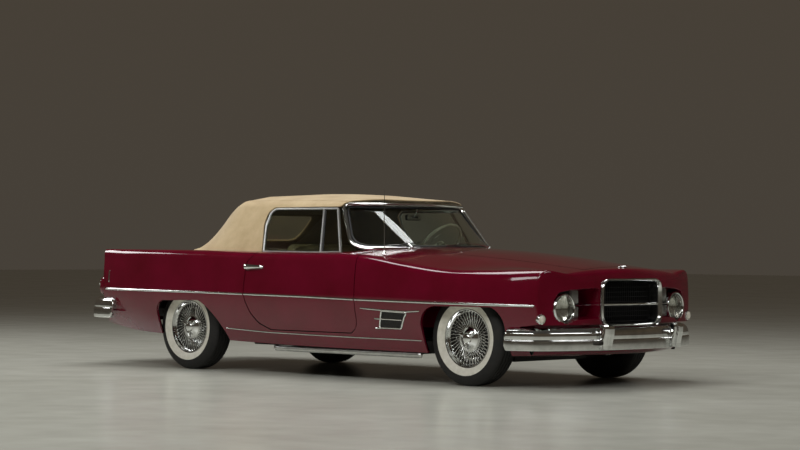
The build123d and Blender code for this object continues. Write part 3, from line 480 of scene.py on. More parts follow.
def make(name, form, materials, body, angle=32.0, normals=None):
    """Turns a form into a piece of the car that rides on one of its bodies.

    A form that comes with its own normals keeps its winding too.
    """
    mesh = bpy.data.meshes.new(name)
    mesh.from_pydata((form.cloud() * MM).tolist(), [], form.faces)
    for material in materials:
        mesh.materials.append(material)
    mesh.polygons.foreach_set("material_index", form.slots)
    if normals is None:
        work = bmesh.new()
        work.from_mesh(mesh)
        bmesh.ops.remove_doubles(work, verts=work.verts, dist=2e-6)
        bmesh.ops.recalc_face_normals(work, faces=work.faces)
        work.to_mesh(mesh)
        work.free()
    mesh.validate()
    mesh.polygons.foreach_set("use_smooth", [True] * len(mesh.polygons))
    if normals is not None:
        mesh.normals_split_custom_set_from_vertices(normals.tolist())
    elif angle < 179:
        mesh.set_sharp_from_angle(angle=math.radians(angle))
    mesh.update()
    piece = bpy.data.objects.new(name, mesh)
    bpy.context.scene.collection.objects.link(piece)
    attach(piece, body)
    return piece


def dress(node, form, materials, angle=40.0, body="body", name=None):
    """A finished piece that takes the place of one of the part's nodes."""
    piece = make(name or f"{node}_dressed", form, materials, body, angle)
    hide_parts(node)
    return piece


def repaint(node, material):
    """A CAD node keeps its shape and gets a better finish."""
    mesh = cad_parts[node].data
    mesh.materials.clear()
    mesh.materials.append(material)


# ================================================================ the body's form
# Body sections from nose to tail, as in the part's source. Each row: x; z and half width of the lower edge;
# of the widest line; below the shoulder; of the crest; of the inner foot; z on the centre line.
BODY = np.array([
    (2500, 245, 720, 560, 790, 735, 775, 800, 700, 770, 560, 812),
    (2320, 238, 790, 570, 862, 742, 846, 815, 775, 795, 610, 838),
    (2120, 230, 835, 575, 925, 745, 906, 815, 820, 815, 640, 862),
    (1850, 224, 858, 578, 966, 742, 948, 812, 860, 845, 640, 896),
    (1500, 223, 868, 581, 983, 748, 963, 818, 880, 880, 620, 932),
    (1100, 224, 875, 586, 987, 785, 968, 862, 893, 915, 620, 956),
    (700, 226, 880, 590, 988, 840, 968, 916, 905, 944, 650, 970),
    (100, 230, 884, 597, 988, 850, 965, 921, 900, 925, 700, 935),
    (-500, 240, 884, 604, 988, 856, 963, 926, 900, 930, 750, 935),
    (-1000, 252, 880, 610, 986, 862, 962, 932, 905, 935, 780, 950),
    (-1500, 270, 872, 615, 980, 868, 956, 937, 912, 905, 800, 938),
    (-1950, 300, 852, 618, 962, 870, 938, 938, 905, 862, 790, 900),
    (-2250, 345, 825, 619, 930, 870, 912, 938, 886, 815, 770, 848),
    (-2480, 390, 790, 619, 880, 850, 868, 905, 845, 770, 730, 800),
], float)[::-1]
# cells of a half section: below and above the widest line, shoulder, crown, lid
SEGMENTS = (22, 12, 14, 14, 40)
BOWS = (16.0, 5.0, None, 0.0)  # how far each but the lid swells outwards; None is a fifth of its own length
SIDE_COLUMNS = sum(SEGMENTS[:3])  # cells from the lower edge up to the crest
STEP_X = 15.0
TAIL_X, NOSE_X = -2480.0, 2500.0  # where the sections start and end
PROUD = 4.4  # how far the finished skin stands off the part's panels


def along_rows(x, table):
    """Columns of a table read at x with a smooth curve through its rows."""
    xs = table[:, 0]
    v = table[:, 1:]
    slope = np.diff(v, axis=0) / np.diff(xs)[:, None]
    gap = np.diff(xs)
    m = np.empty_like(v)
    m[1:-1] = (slope[:-1] * gap[1:, None] + slope[1:] * gap[:-1, None]) / (gap[1:] + gap[:-1])[:, None]
    m[0], m[-1] = slope[0], slope[-1]
    x = np.asarray(x, float)
    k = np.clip(np.searchsorted(xs, x) - 1, 0, len(xs) - 2)
    h = gap[k]
    t = ((x - xs[k]) / h)[:, None]
    h = h[:, None]
    return (
        (2 * t**3 - 3 * t**2 + 1) * v[k] + (t**3 - 2 * t**2 + t) * h * m[k]
        + (-2 * t**3 + 3 * t**2) * v[k + 1] + (t**3 - t**2) * h * m[k + 1]
    )


def half_sections(x):
    """Half sections of the body at each x, as (y, z) from the lower edge to the centre line."""
    rows = along_rows(x, BODY)
    z0, y0, z1, y1, z2, y2, z3, y3, z4, y4, zm = (rows[:, i:i + 1] for i in range(11))
    parts = []
    corners = [(y0, z0), (y1, z1), (y2, z2), (y3, z3), (y4, z4)]
    for count, a, b, bow in zip(SEGMENTS, corners, corners[1:], BOWS):
        t = np.linspace(0, 1, count, endpoint=False)[None]
        dy, dz = b[0] - a[0], b[1] - a[1]
        run = np.hypot(dy, dz)
        lift = (0.2 * run if bow is None else bow) * 4 * t * (1 - t)
        parts.append(np.stack([a[0] + dy * t + dz / run * lift, a[1] + dz * t - dy / run * lift], axis=-1))
    t = np.linspace(0, 1, SEGMENTS[4] + 1)[None]
    parts.append(np.stack([y4 * (1 - t), z4 + (zm - z4) * (1 - (1 - t) ** 2)], axis=-1))
    return np.concatenate(parts, axis=1)


def smooth_columns(values, passes):
    """Eases the creases along each section, leaving its two ends."""
    for _ in range(passes):
        middle = (values[:, :-2] + 2 * values[:, 1:-1] + values[:, 2:]) / 4
        values = np.concatenate([values[:, :1], middle, values[:, -1:]], axis=1)
    return values


def body_surface(x0, x1, step):
    """The body's outer surface and its normals, on a grid from one lower edge over the top to the other."""
    x = np.arange(x0, x1 + step * 0.5, step)
    half = half_sections(x)
    whole = np.concatenate([half, half[:, -2::-1] * (-1, 1)], axis=1)
    whole = smooth_columns(whole, 6)
    points = np.concatenate([np.broadcast_to(x[:, None, None], whole.shape[:2] + (1,)), whole], axis=2)
    du = np.gradient(points, axis=0)
    dv = np.gradient(points, axis=1)
    normals = unit(np.cross(dv, du))
    normals *= np.sign(normals[:1, :1, 1:2])
    return points + normals * PROUD, normals


def inside_polygon(px, pz, outline):
    """How far a point lies inside a closed outline, negative outside."""
    shape = px.shape
    px, pz = px.ravel(), pz.ravel()
    outline = np.asarray(outline, float)
    best = np.full(px.shape, 1e12)
    odd = np.zeros(px.shape, bool)
    for (ax, az), (bx, bz) in zip(outline, np.roll(outline, -1, 0)):
        ex, ez = bx - ax, bz - az
        t = np.clip(((px - ax) * ex + (pz - az) * ez) / max(ex * ex + ez * ez, 1e-9), 0, 1)
        best = np.minimum(best, (px - ax - ex * t) ** 2 + (pz - az - ez * t) ** 2)
        if az != bz:
            crosses = ((az > pz) != (bz > pz)) & (px < ex * (pz - az) / ez + ax)
            odd ^= crosses
    return (np.sqrt(best) * np.where(odd, 1, -1)).reshape(shape)


def cut_grid(points, normals, keep):
    """The part of a grid of points where keep is above zero, as points, normals, faces."""
    rows, columns = keep.shape
    inside = keep > 0
    number = -np.ones(keep.shape, int)
    used = np.zeros(keep.shape, bool)
    cells = inside[:-1, :-1].astype(int) + inside[1:, :-1] + inside[1:, 1:] + inside[:-1, 1:]
    hit = cells > 0
    for di, dj in ((0, 0), (1, 0), (1, 1), (0, 1)):
        used[di:rows - 1 + di, dj:columns - 1 + dj] |= hit
    used &= inside
    number[used] = np.arange(used.sum())
    out_points, out_normals = list(points[used]), list(normals[used])
    crossings = {}

    def crossing(a, b):
        key = (a, b) if a < b else (b, a)
        if key not in crossings:
            va, vb = keep[key[0]], keep[key[1]]
            t = va / (va - vb)
            crossings[key] = len(out_points)
            out_points.append(lerp(points[key[0]], points[key[1]], t))
            out_normals.append(unit(lerp(normals[key[0]], normals[key[1]], t)))
        return crossings[key]

    faces = []
    for i, j in np.argwhere(cells == 4):
        faces.append((number[i, j], number[i + 1, j], number[i + 1, j + 1], number[i, j + 1]))
    for i, j in np.argwhere(hit & (cells < 4)):
        corners = [(i, j), (i + 1, j), (i + 1, j + 1), (i, j + 1)]
        face = []
        for a, b in zip(corners, corners[1:] + corners[:1]):
            if inside[a]:
                face.append(number[a])
            if inside[a] != inside[b]:
                face.append(crossing(a, b))
        if len(face) > 2:
            faces.append(tuple(face))
    return np.array(out_points), np.array(out_normals), [tuple(int(k) for k in face) for face in faces]


def hemmed(points, normals, faces, depth=16.0, roll=1.5, plain=None):
    """Gives a panel a small rolled edge and a flange turned in all round, but for edges where plain holds."""
    rim = rim_edges(faces)
    if plain is not None:
        rim = [(a, b) for a, b in rim if not (plain(points[a]) and plain(points[b]))]
    out = {}
    for a, b in rim:
        o = np.cross(unit(points[b] - points[a]), normals[a])
        for k in (a, b):
            out[k] = out.get(k, 0) + o
    order = sorted(out)
    at = {k: i for i, k in enumerate(order)}
    o = unit(np.array([out[k] for k in order]))
    base, n = points[order], normals[order]
    first = base + o * roll * 0.7 - n * roll * 0.3
    second = base + o * roll - n * roll
    third = second - n * depth
    count, rims = len(points), len(order)
    all_points = np.concatenate([points, first, second, third])
    all_normals = np.concatenate([normals, unit(n + o), o, o])
    more = []
    for a, b in rim:
        i, j = at[a], at[b]
        more.append((b, a, count + i, count + j))
        for ring in (0, 1):
            p = count + ring * rims
            more.append((p + j, p + i, p + rims + i, p + rims + j))
    return all_points, all_normals, faces + more


def panel(name, keep, body, pair=False, depth=16.0, surface=None, plain=None):
    """One body panel, or a left and right pair, cut from the outer surface.

    keep gives, for x, y and z, how far inside the panel a point is.
    """
    points, normals = surface or SURFACE
    half = points.shape[1] // 2
    if pair:
        points, normals = points[:, :half + 1], normals[:, :half + 1]
    value = keep(points[..., 0], points[..., 1], points[..., 2])
    p, n, faces = cut_grid(points, normals, value)
    p, n, faces = hemmed(p, n, faces, depth, plain=plain)
    if not GRID_OUTWARD:
        faces = [face[::-1] for face in faces]
    form = Form().add(p, faces)
    if not pair:
        make(name, form, [PAINT], body, normals=n)
        return
    for hand, shape, ways in (("left", form, n), ("right", form.mirrored(), n * (1, -1, 1))):
        rider = body if body == "body" else f"{body}_{hand}"
        make(f"{name}_{hand}", shape, [PAINT], rider, normals=ways)


SURFACE = body_surface(TAIL_X, NOSE_X, STEP_X)
# the grid's own winding, read from one of its cells
_grid, _ways = SURFACE
_cell = np.cross(_grid[101, 30] - _grid[100, 30], _grid[101, 31] - _grid[101, 30])
GRID_OUTWARD = float(_cell @ _ways[100, 30]) > 0

# ---------------------------------------------------------------- shut lines, as in the part's source
GAP = 6.0
DOOR_FRONT_X, DOOR_REAR_X, DOOR_BELT_X, DOOR_LOW_Z, DOOR_INNER_Y = 682.0, -490.0, -412.0, 344.0, 845.0
BONNET_REAR_X, BONNET_FRONT_X, BONNET_REAR_Y, BONNET_FRONT_Y = 880.0, 2330.0, 545.0, 405.0
BOOT_FRONT_X, BOOT_REAR_X, BOOT_FRONT_Y, BOOT_REAR_Y = -1640.0, -2390.0, 720.0, 660.0
FRONT_AXLE_X, REAR_AXLE_X, TYRE_R, TRACK = 1645.0, -1276.0, 334.0, 1522.0
FRONT_ARCH = [
    (-335, 100), (-335, 430), (-292, 510), (-190, 558), (316, 560), (387, 504), (412, 430), (425, 100),
]
REAR_ARCH = [
    (-290, 100), (-268, 440), (-232, 512), (-143, 540), (255, 549), (400, 452), (520, 278), (560, 100),
]


def door_outline(grow):
    """The door's outline seen from the side, moved outwards by grow."""
    front, rear, low, belt = DOOR_FRONT_X + grow, DOOR_REAR_X - grow, DOOR_LOW_Z - grow, DOOR_BELT_X - grow
    points = [
        (front, 1000), (front, 430), (front - 20, 380), (front - 80, low), (rear + 250, low),
        (rear + 130, low + 48), (rear + 55, low + 125), (rear + 12, low + 215), (rear, low + 280),
        (rear + 18, 850), (belt, 905), (belt, 1000),
    ]
    return rounded(points, [0, 60, 60, 40, 120, 120, 120, 120, 200, 30, 20, 0])


def plan_outline(front, rear, front_y, rear_y, grow, radius):
    """A lid's outline seen from above, from its two ends and their half widths."""
    out = grow if front > rear else -grow
    ends = ((rear - out, -rear_y - grow), (front + out, -front_y - grow))
    return rounded([*ends, *((x, -y) for x, y in ends[::-1])], radius)


def arc(a, b, c):
    """Points of the arc from a through b to c."""
    a, b, c = (np.asarray(q, float) for q in (a, b, c))
    m = 2 * np.array([b - a, c - a])
    centre = np.linalg.solve(m, [b @ b - a @ a, c @ c - a @ a])
    r = np.linalg.norm(a - centre)
    s, e, f = (math.atan2(*(q - centre)[::-1]) for q in (a, b, c))
    to_middle, angle = (v % (2 * math.pi) for v in (e - s, f - s))
    if to_middle >= angle:
        angle -= 2 * math.pi
    t = s + np.linspace(0, 1, 16) * angle
    return [tuple(centre + r * np.array([math.cos(k), math.sin(k)])) for k in t]


def arch_outline(points, axle_x):
    """A wheel arch's outline seen from the side: two arcs between its two legs."""
    p = [(axle_x + x, z) for x, z in points]
    line = [p[0]] + arc(*p[1:4]) + arc(*p[4:7]) + [p[7]]
    return rounded(line, [0] + [40] * (len(line) - 2) + [0], 2)


FRONT_ARCH_LINE = arch_outline(FRONT_ARCH, FRONT_AXLE_X)
REAR_ARCH_LINE = arch_outline(REAR_ARCH, REAR_AXLE_X)
SEAM = 0.5  # the finished skin's share of each gap
CABIN_REAR_X, QUARTER_REAR_X = -1330.0, -2200.0  # the rear deck lies between them
DECK_Y, DECK_LOW_Z = 760.0, 700.0
CABIN_RAMP_FROM_X, CABIN_RAMP_LONG, CABIN_RAMP_WIDE = -1090.0, 240.0, 180.0
COWL_FRONT_X, COWL_Y = BONNET_REAR_X - GAP, 839.0
COWL_REAR_MID_X, COWL_REAR_SIDE_X = 790.0, 400.0
NOSE_END_X = 2150.0  # the nose's own skin starts here
TAIL_MID_X, TAIL_BOW, TAIL_BOW_Y = -2445.0, 213.0, 900.0
VENT = rounded([(952, 513), (1196, 505), (1166, 470), (1118, 389), (908, 391)], [8, 22, 40, 12, 8], 5)


def bonnet_outline(grow):
    return plan_outline(BONNET_FRONT_X, BONNET_REAR_X, BONNET_FRONT_Y, BONNET_REAR_Y, grow, 12)


def boot_outline(grow):
    return plan_outline(BOOT_FRONT_X, BOOT_REAR_X, BOOT_FRONT_Y, BOOT_REAR_Y, grow, 60)


def lowest(*values):
    """The least of several arrays, point by point."""
    out = values[0]
    for value in values[1:]:
        out = np.minimum(out, value)
    return out


def door_keep(x, y, z):
    return lowest(inside_polygon(x, z, door_outline(-SEAM)), y - DOOR_INNER_Y - 1)


def side_keep(x, y, z):
    """The welded side of the body: wing, sill and quarter, with its arches, its door hole and its vent."""
    arches = -np.maximum(inside_polygon(x, z, FRONT_ARCH_LINE), inside_polygon(x, z, REAR_ARCH_LINE))
    bonnet = -inside_polygon(x, y, bonnet_outline(GAP + SEAM))
    door = -inside_polygon(x, z, door_outline(GAP + SEAM))
    vent = -inside_polygon(x, z, VENT)
    cowl = np.maximum(x - (COWL_FRONT_X + SEAM), y - (COWL_Y + SEAM))
    ramp = CABIN_RAMP_WIDE * np.clip((CABIN_RAMP_FROM_X - x) / CABIN_RAMP_LONG, 0, 1) ** 1.5
    cabin = np.maximum(CABIN_REAR_X - x, y - DOOR_INNER_Y + ramp)
    deck = np.maximum(np.maximum(QUARTER_REAR_X - x, y - DECK_Y), DECK_LOW_Z - z)
    inner = np.where(x > 100, cowl, np.minimum(cabin, deck))
    return lowest(arches, bonnet, door, vent, inner, NOSE_END_X - x, x - QUARTER_REAR_X, y)


def cowl_rear(y):
    """The cowl's rear edge across the car, an arc."""
    return COWL_REAR_MID_X - (COWL_REAR_MID_X - COWL_REAR_SIDE_X) * (np.abs(y) / COWL_Y) ** 2


def cowl_keep(x, y, z):
    return lowest(COWL_FRONT_X - SEAM - x, x - cowl_rear(y), COWL_Y - SEAM - np.abs(y))


def bonnet_keep(x, y, z):
    return inside_polygon(x, y, bonnet_outline(-SEAM))


def tail_plane(y):
    """The tail's face, an arc across the car."""
    return TAIL_MID_X - PROUD + TAIL_BOW * (np.abs(y) / TAIL_BOW_Y) ** 2


def boot_keep(x, y, z):
    return np.minimum(inside_polygon(x, y, boot_outline(-SEAM)), x - tail_plane(y) - 1.0)


def deck_keep(x, y, z):
    boot = -inside_polygon(x, y, boot_outline(GAP + SEAM))
    deck = np.maximum(lowest(DECK_Y - np.abs(y), z - DECK_LOW_Z), QUARTER_REAR_X - x)
    return lowest(boot, deck, CABIN_REAR_X - x, x - tail_plane(y))


panel("door_skin", door_keep, "door", pair=True)
panel("side_skin", side_keep, "body", pair=True, depth=22)
panel("bonnet_skin", bonnet_keep, "bonnet")
panel("boot_skin", boot_keep, "boot_lid")
panel("cowl_skin", cowl_keep, "body")
panel("deck_skin", deck_keep, "body")


def across_at(x):
    """Points and normals of the finished skin across the car at x."""
    f = (x - TAIL_X) / STEP_X
    i = int(np.clip(math.floor(f), 0, len(SURFACE[0]) - 2))
    return (lerp(grid[i], grid[i + 1], f - i) for grid in SURFACE)


def side_at(x, z):
    """A point of the finished skin on the car's left side, and its normal."""
    row, way = (found[:SIDE_COLUMNS] for found in across_at(x))
    y = np.interp(z, row[:, 2], row[:, 1])
    return np.array([x, y, z]), unit(np.array([np.interp(z, row[:, 2], way[:, k]) for k in range(3)]))


def top_at(x, y):
    """A point of the finished skin seen from above, on the left half, and its normal."""
    low, half = SIDE_COLUMNS - 6, SURFACE[0].shape[1] // 2 + 1
    row, way = (found[low:half][::-1] for found in across_at(x))
    z = np.interp(y, row[:, 1], row[:, 2])
    return np.array([x, y, z]), unit(np.array([np.interp(y, row[:, 1], way[:, k]) for k in range(3)]))


def on_surface(line, at, step=12.0):
    """Points and normals of the skin along a line given in its two flat coordinates."""
    found = [at(*q) for q in even(np.asarray(line, float), step)]
    return np.array([f[0] for f in found]), np.array([f[1] for f in found])


def moulding(points, normals, profile, slot=0, closed=False, scale=None):
    """A strip lying on a surface along a line of its points; the profile is (across, outwards)."""
    points, normals = np.asarray(points, float), np.asarray(normals, float)
    along = tangents(points, closed)
    normals = unit(normals - np.sum(normals * along, axis=-1, keepdims=True) * along)
    return skin(carried(points, np.cross(normals, along), normals, profile, scale), slot, closed)


def strip_profile(wide, high):
    """The section of a half-round moulding, its back a little under the surface."""
    h, low = wide / 2, -1.5
    half = [(h, low), (h, high * 0.25), (h * 0.78, high * 0.72), (h * 0.35, high * 0.97)]
    return [(-h, low), *half, *((-x, z) for x, z in half[:0:-1])]


# ================================================================ nose
# The front face bows across the car. The wings and the lid roll over into it, tightly at the wing tips and
# in a full round beside the mouth.
MOUTH_HALF, MOUTH_LOW, MOUTH_HIGH, MOUTH_CORNER = 345.0, 425.0, 762.0, 95.0
LAMP_Y, LAMP_Z, LAMP_R = 636.0, 552.0, 106.0
CHIN_Z = 442.0
NOSE_MID_X, NOSE_BOW, NOSE_BOW_Y = 2455.0, 125.0, 780.0
SHOULDER_COLUMN = SEGMENTS[0] + SEGMENTS[1]


def nose_x(y):
    """The nose's front face, an arc across the car."""
    return NOSE_MID_X + PROUD - NOSE_BOW * (y / NOSE_BOW_Y) ** 2


def nose_roll(y):
    """How far back of the face the wings and the lid start to roll over into it."""
    return np.interp(np.abs(y), [0, 250, 345, 435, 608, 740, 800], [70, 84, 92, 80, 46, 22, 17])


def chin_x(y):
    """The chin's face, which bows back more than the nose's."""
    return 2440.0 + PROUD - 205.0 * (y / NOSE_BOW_Y) ** 2


FRONT_SURFACE = body_surface(2135, NOSE_X, STEP_X / 2)
points, normals = FRONT_SURFACE
columns = points.shape[1]
from_edge = np.minimum(np.arange(columns), np.arange(columns)[::-1])
share = np.clip((from_edge - SHOULDER_COLUMN) / SEGMENTS[2], 0, 1)
ROLLS = lerp(18.0, nose_roll(points[..., 1]), share[None, :])


def nose_skin_keep(x, y, z):
    high = nose_x(y) - ROLLS - x
    ahead = np.where(z > CHIN_Z, high, np.minimum(high, chin_x(y) - x))
    bonnet = -inside_polygon(x, y, bonnet_outline(GAP + SEAM))
    return lowest(ahead, bonnet, x - NOSE_END_X)


def on_roll(p):
    """Whether a point lies where the skin meets the nose's roll."""
    return p[2] > CHIN_Z and abs(p[0] - (nose_x(p[1]) - 60)) < 70 and p[0] > 2240


panel("nose_skin", nose_skin_keep, "body", surface=FRONT_SURFACE, plain=on_roll)


def passing(j, beyond, *grids):
    """What each grid says where column j first passes from below to above zero."""
    g = beyond[:, j]
    i = int(np.argmax(g > 0))
    return [lerp(grid[i - 1, j], grid[i, j], g[i - 1] / (g[i - 1] - g[i])) for grid in grids]


beyond = points[..., 0] - (nose_x(points[..., 1]) - ROLLS)
rolled = [passing(j, beyond, points, normals, ROLLS) for j in range(columns)]
rolled = [r for r in rolled if r[0][2] >= CHIN_Z - 4]
roll_start, roll_normal, roll_size = (np.array(row) for row in zip(*rolled))
flat_normal = unit(roll_normal * (0, 1, 1))
corner = roll_start.copy()
corner[:, 0] = nose_x(corner[:, 1])
roll_end = corner - flat_normal * roll_size[:, None]
roll_end[:, 0] = nose_x(roll_end[:, 1])
t = np.linspace(0, 1, 15)[:, None, None]
strip = (1 - t) ** 2 * roll_start + 2 * t * (1 - t) * corner + t**2 * roll_end
du, dv = np.gradient(strip, axis=0), np.gradient(strip, axis=1)
strip_normals = unit(np.cross(du, dv))
strip_normals *= np.sign(np.sum(strip_normals * (flat_normal + (1, 0, 0)), axis=-1, keepdims=True))
strip_normals[0] = roll_normal
faces = grid_faces(strip.shape[0], strip.shape[1])
strip, strip_normals = strip.reshape(-1, 3), strip_normals.reshape(-1, 3)
faces = facing(strip, strip_normals, faces, 40)
make("nose_roll", Form().add(strip, faces), [PAINT], "body", normals=strip_normals)

yy, zz = np.meshgrid(np.arange(-882, 883, 7.0), np.arange(CHIN_Z - 2, 840, 7.0), indexing="ij")
face_points = np.stack([nose_x(yy), yy, zz], axis=-1)
face_slope = 2 * NOSE_BOW * yy / NOSE_BOW_Y**2
face_normals = unit(np.stack([np.ones_like(yy), face_slope, np.zeros_like(yy)], axis=-1))
face_edge = [(p[1], p[2]) for p in roll_end] + [(roll_end[-1][1], CHIN_Z), (roll_end[0][1], CHIN_Z)]
COVE = rounded([
    (352, 484), (560, 476), (LAMP_Y, LAMP_Z - LAMP_R - 3), (742, 500), (748, LAMP_Z), (744, 610), (700, 668),
    (607, 684), (400, 697), (352, 690),
], [14, 30, 40, 60, 40, 60, 40, 60, 40, 12])
MOUTH = rounded([
    (-MOUTH_HALF, MOUTH_LOW), (MOUTH_HALF, MOUTH_LOW), (MOUTH_HALF, MOUTH_HIGH), (-MOUTH_HALF, MOUTH_HIGH)
], MOUTH_CORNER, 10)
keep = lowest(
    inside_polygon(yy, zz, face_edge) + 0.8,
    -inside_polygon(yy, zz, MOUTH) - 1,
    -inside_polygon(np.abs(yy), zz, COVE),
    zz - CHIN_Z,
)
p, n, faces = cut_grid(face_points, face_normals, keep)
outline = np.array(face_edge)


def on_outline(q):
    """Whether a point lies where the face meets the nose's roll."""
    return abs(float(inside_polygon(np.array([q[1]]), np.array([q[2]]), outline)[0])) < 4


p, n, faces = hemmed(p, n, faces, 26, plain=on_outline)
faces = facing(p, n, faces, 10)
nose_face = make("nose_face", Form().add(p, faces), [PAINT], "body", normals=n)
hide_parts("nose_panel")

# chin: the valance behind and below the bumper, with the ledge over it
y = np.linspace(-800, 800, 81)
chin = []
for back, z in ((0, CHIN_Z), (0, 300), (4, 262), (14, 244), (34, 232), (70, 228), (90, 236)):
    chin.append(np.stack([chin_x(y) - back, y, np.full(81, z)], axis=1))
ledge = np.stack([nose_x(y) - 20, y, np.full(81, CHIN_Z)], axis=1)
make("chin_panel", skin([ledge] + chin, ring=False), [PAINT], "body")

# a plain winged drop on the nose's front, with no badge
c = top_at(2372.0, 0.0)[0]
LID_SLOPE = 0.028
drop_z = c[2] + 9
form = skin([
    [(c[0] + x, r * math.cos(a), drop_z + 0.5 * r * math.sin(a) - LID_SLOPE * x) for a in angles(20)]
    for x, r in ((30, 1), (27, 6), (18, 11), (4, 13), (-10, 11), (-22, 7), (-31, 3), (-34, 1))
])
half_wing = [(4, 30), (-16, 46), (-10, 20)]
wing = [(18, 0), *half_wing, (-22, 0), *((x, -y) for x, y in half_wing[::-1])]
wing = slab(rounded(wing, [3, 12, 4, 12, 3, 12, 4, 12], 4), 7, 3)
form.join(wing.placed((c[0], 0, c[2] + 1), (1, 0, -LID_SLOPE), (LID_SLOPE, 0, 1)))
make("bonnet_ornament", form, [CHROME], "body", 40)

# ================================================================ wheels and tyres
TURNS = 192
WHITE_IN, WHITE_OUT = 207.5, 262.5
TYRE_SIDE = [
    (199, 66), (203, 73), (208, 77), (222, 88), (240, 95.5), (258, 99), (262, 99.6), (265, 98.8),
    (282, 97.5), (300, 93), (312, 87), (321, 79), (327, 73),
]
GROOVES = (-45.0, -15.5, 15.5, 45.0)
SPOKE_COUNT = 40  # of each of the three kinds: radius and z at the hub, at the rim, and the angle between
SPOKES = ((84, 50, 185, 50, 0.20), (84, 48, 178, 32, -0.36), (76, -14, 166, 4, 0.34))


def tyre_form():
    """A ribbed cross-ply tyre about its own z axis, its outside upwards, with a raised white wall."""
    flat = [(r, z, 0.0) for r, z in TYRE_SIDE]
    flat += [(331.5, 66, 0), (333, 61, 0)]
    for g in GROOVES[::-1]:
        flat += [(333.6, g + 4.2, 1), (327.0, g + 2.6, 1), (327.0, g - 2.6, 1), (333.6, g - 4.2, 1)]
    flat += [(333, -61, 0), (331.5, -66, 0)] + [(r, -z, 0.0) for r, z in TYRE_SIDE[::-1]]
    flat = np.array(flat)
    a = angles(TURNS)
    zigzag = 3.4 * (np.abs((np.arange(TURNS) % 6) - 3) - 1.5) / 1.5
    r = np.broadcast_to(flat[:, 0], (TURNS, len(flat)))
    z = flat[:, 1] + flat[:, 2] * zigzag[:, None]
    points = np.stack([r * np.cos(a)[:, None], r * np.sin(a)[:, None], z], axis=-1)
    form = Form()
    faces = grid_faces(TURNS, len(flat), True, True)
    form.add(points, faces)
    middles = points.reshape(-1, 3)[np.array(faces)].mean(1)
    form.slots = [int(c[2] > 70 and WHITE_IN < math.hypot(c[0], c[1]) < WHITE_OUT) for c in middles]
    return form


def wheel_form():
    """A wire wheel about its own z axis: rim, laced spokes, hub shell, drum, domed cap with three blades."""
    form = Form()
    form.join(lathe([
        (206, 66), (206.5, 74), (203, 79.5), (199, 79), (196.5, 74), (193, 66), (189, 58), (183, 51),
        (181, 46), (188, 44), (192, 50), (198, 58),
    ], 96, 0))
    # painted dark reflection: the rim's well, chrome on the car, takes the dark iron finish
    form.join(lathe([
        (183, 47), (180, 40), (174, 30), (166, 14), (164, -10), (168, -34), (184, -48), (188, -66),
        (194, -72), (205, -74), (206, -68), (199, -62), (197, -50), (180, -40), (178, -10), (182, 20),
        (188, 42),
    ], 96, 1))
    form.join(lathe([
        (62, -60), (64, -20), (66, -18), (78, -16), (78, -12), (58, -8), (50, 20), (52, 40), (84, 44),
        (84, 48), (40, 52), (20, 52), (20, -60),
    ], 64, 0))
    form.join(lathe([(20.2, -79), (146, -79), (148, -77), (148, -12), (140, -6), (20.2, -6)], 72, 1))
    for k in range(SPOKE_COUNT):
        a = 2 * math.pi * k / SPOKE_COUNT
        for start_r, start_z, end_r, end_z, lead in SPOKES:
            b = a + lead
            head = np.array([start_r * math.cos(a), start_r * math.sin(a), start_z])
            foot = np.array([end_r * math.cos(b), end_r * math.sin(b), end_z])
            way = unit(foot - head)
            form.join(tube([head, lerp(head, foot, 0.9), foot - way * 11, foot], 2.9, 6))
            form.join(tube([foot - way * 14, foot + way * 3], 4.6, 6))
    form.join(lathe([
        (97, 43), (97.5, 47), (95, 50.5), (88, 52), (80, 51), (77, 52.5), (70, 58), (58, 66), (46, 72.5),
        (40, 75), (38.5, 78), (36, 84), (31, 90), (22, 93.5), (10, 95), (0.5, 95.2), (0.5, 43),
    ], 72, 0))
    for k in range(3):
        a = 2 * math.pi * k / 3 + 0.5
        outline = [(20, -11), (52, -9), (80, 4), (84, 12), (74, 14), (48, 13), (20, 13)]
        blade = rounded(outline, [4, 10, 8, 5, 8, 10, 4], 4)
        part = slab(blade, 15, 4.5, 0, back=71, crown=2.0)
        form.join(part.placed((0, 0, 0), (math.cos(a), math.sin(a), 0)))
    return form


TYRE_FORM, WHEEL_FORM = tyre_form(), wheel_form()
for end, axle_x in (("front", FRONT_AXLE_X), ("rear", REAR_AXLE_X)):
    for hand, sign in (("left", 1), ("right", -1)):
        place = (axle_x, sign * TRACK / 2, TYRE_R)
        body = f"wheel_{end}_{hand}"
        tyre, wheel = (f.placed(place, (1, 0, 0), (0, sign, 0)) for f in (TYRE_FORM, WHEEL_FORM))
        dress(f"tyre_{end}_{hand}", tyre, [RUBBER, WHITEWALL], body=body)
        dress(f"wheel_{end}_{hand}", wheel, [CHROME, IRON], angle=38, body=body)

# ================================================================ bumpers
def bumper_path(mid, wing, bend, corner, end_bend, end):
    """A bumper's plan line from one end round to the other."""
    half = [end, end_bend, corner, bend, wing]
    for y in (520.0, 350.0, 175.0):
        half.append((mid + (wing[0] - mid) * (y / wing[1]) ** 2, y))
    line = [(x, y) for x, y in half] + [(mid, 0.0)] + [(x, -y) for x, y in half[::-1]]
    return even(spline(np.array(line), 400), 16.0)


def bracket_sides(side):
    """The two sides, across the car, of a bumper's bracket."""
    return (405, 475) if side > 0 else (-475, -405)


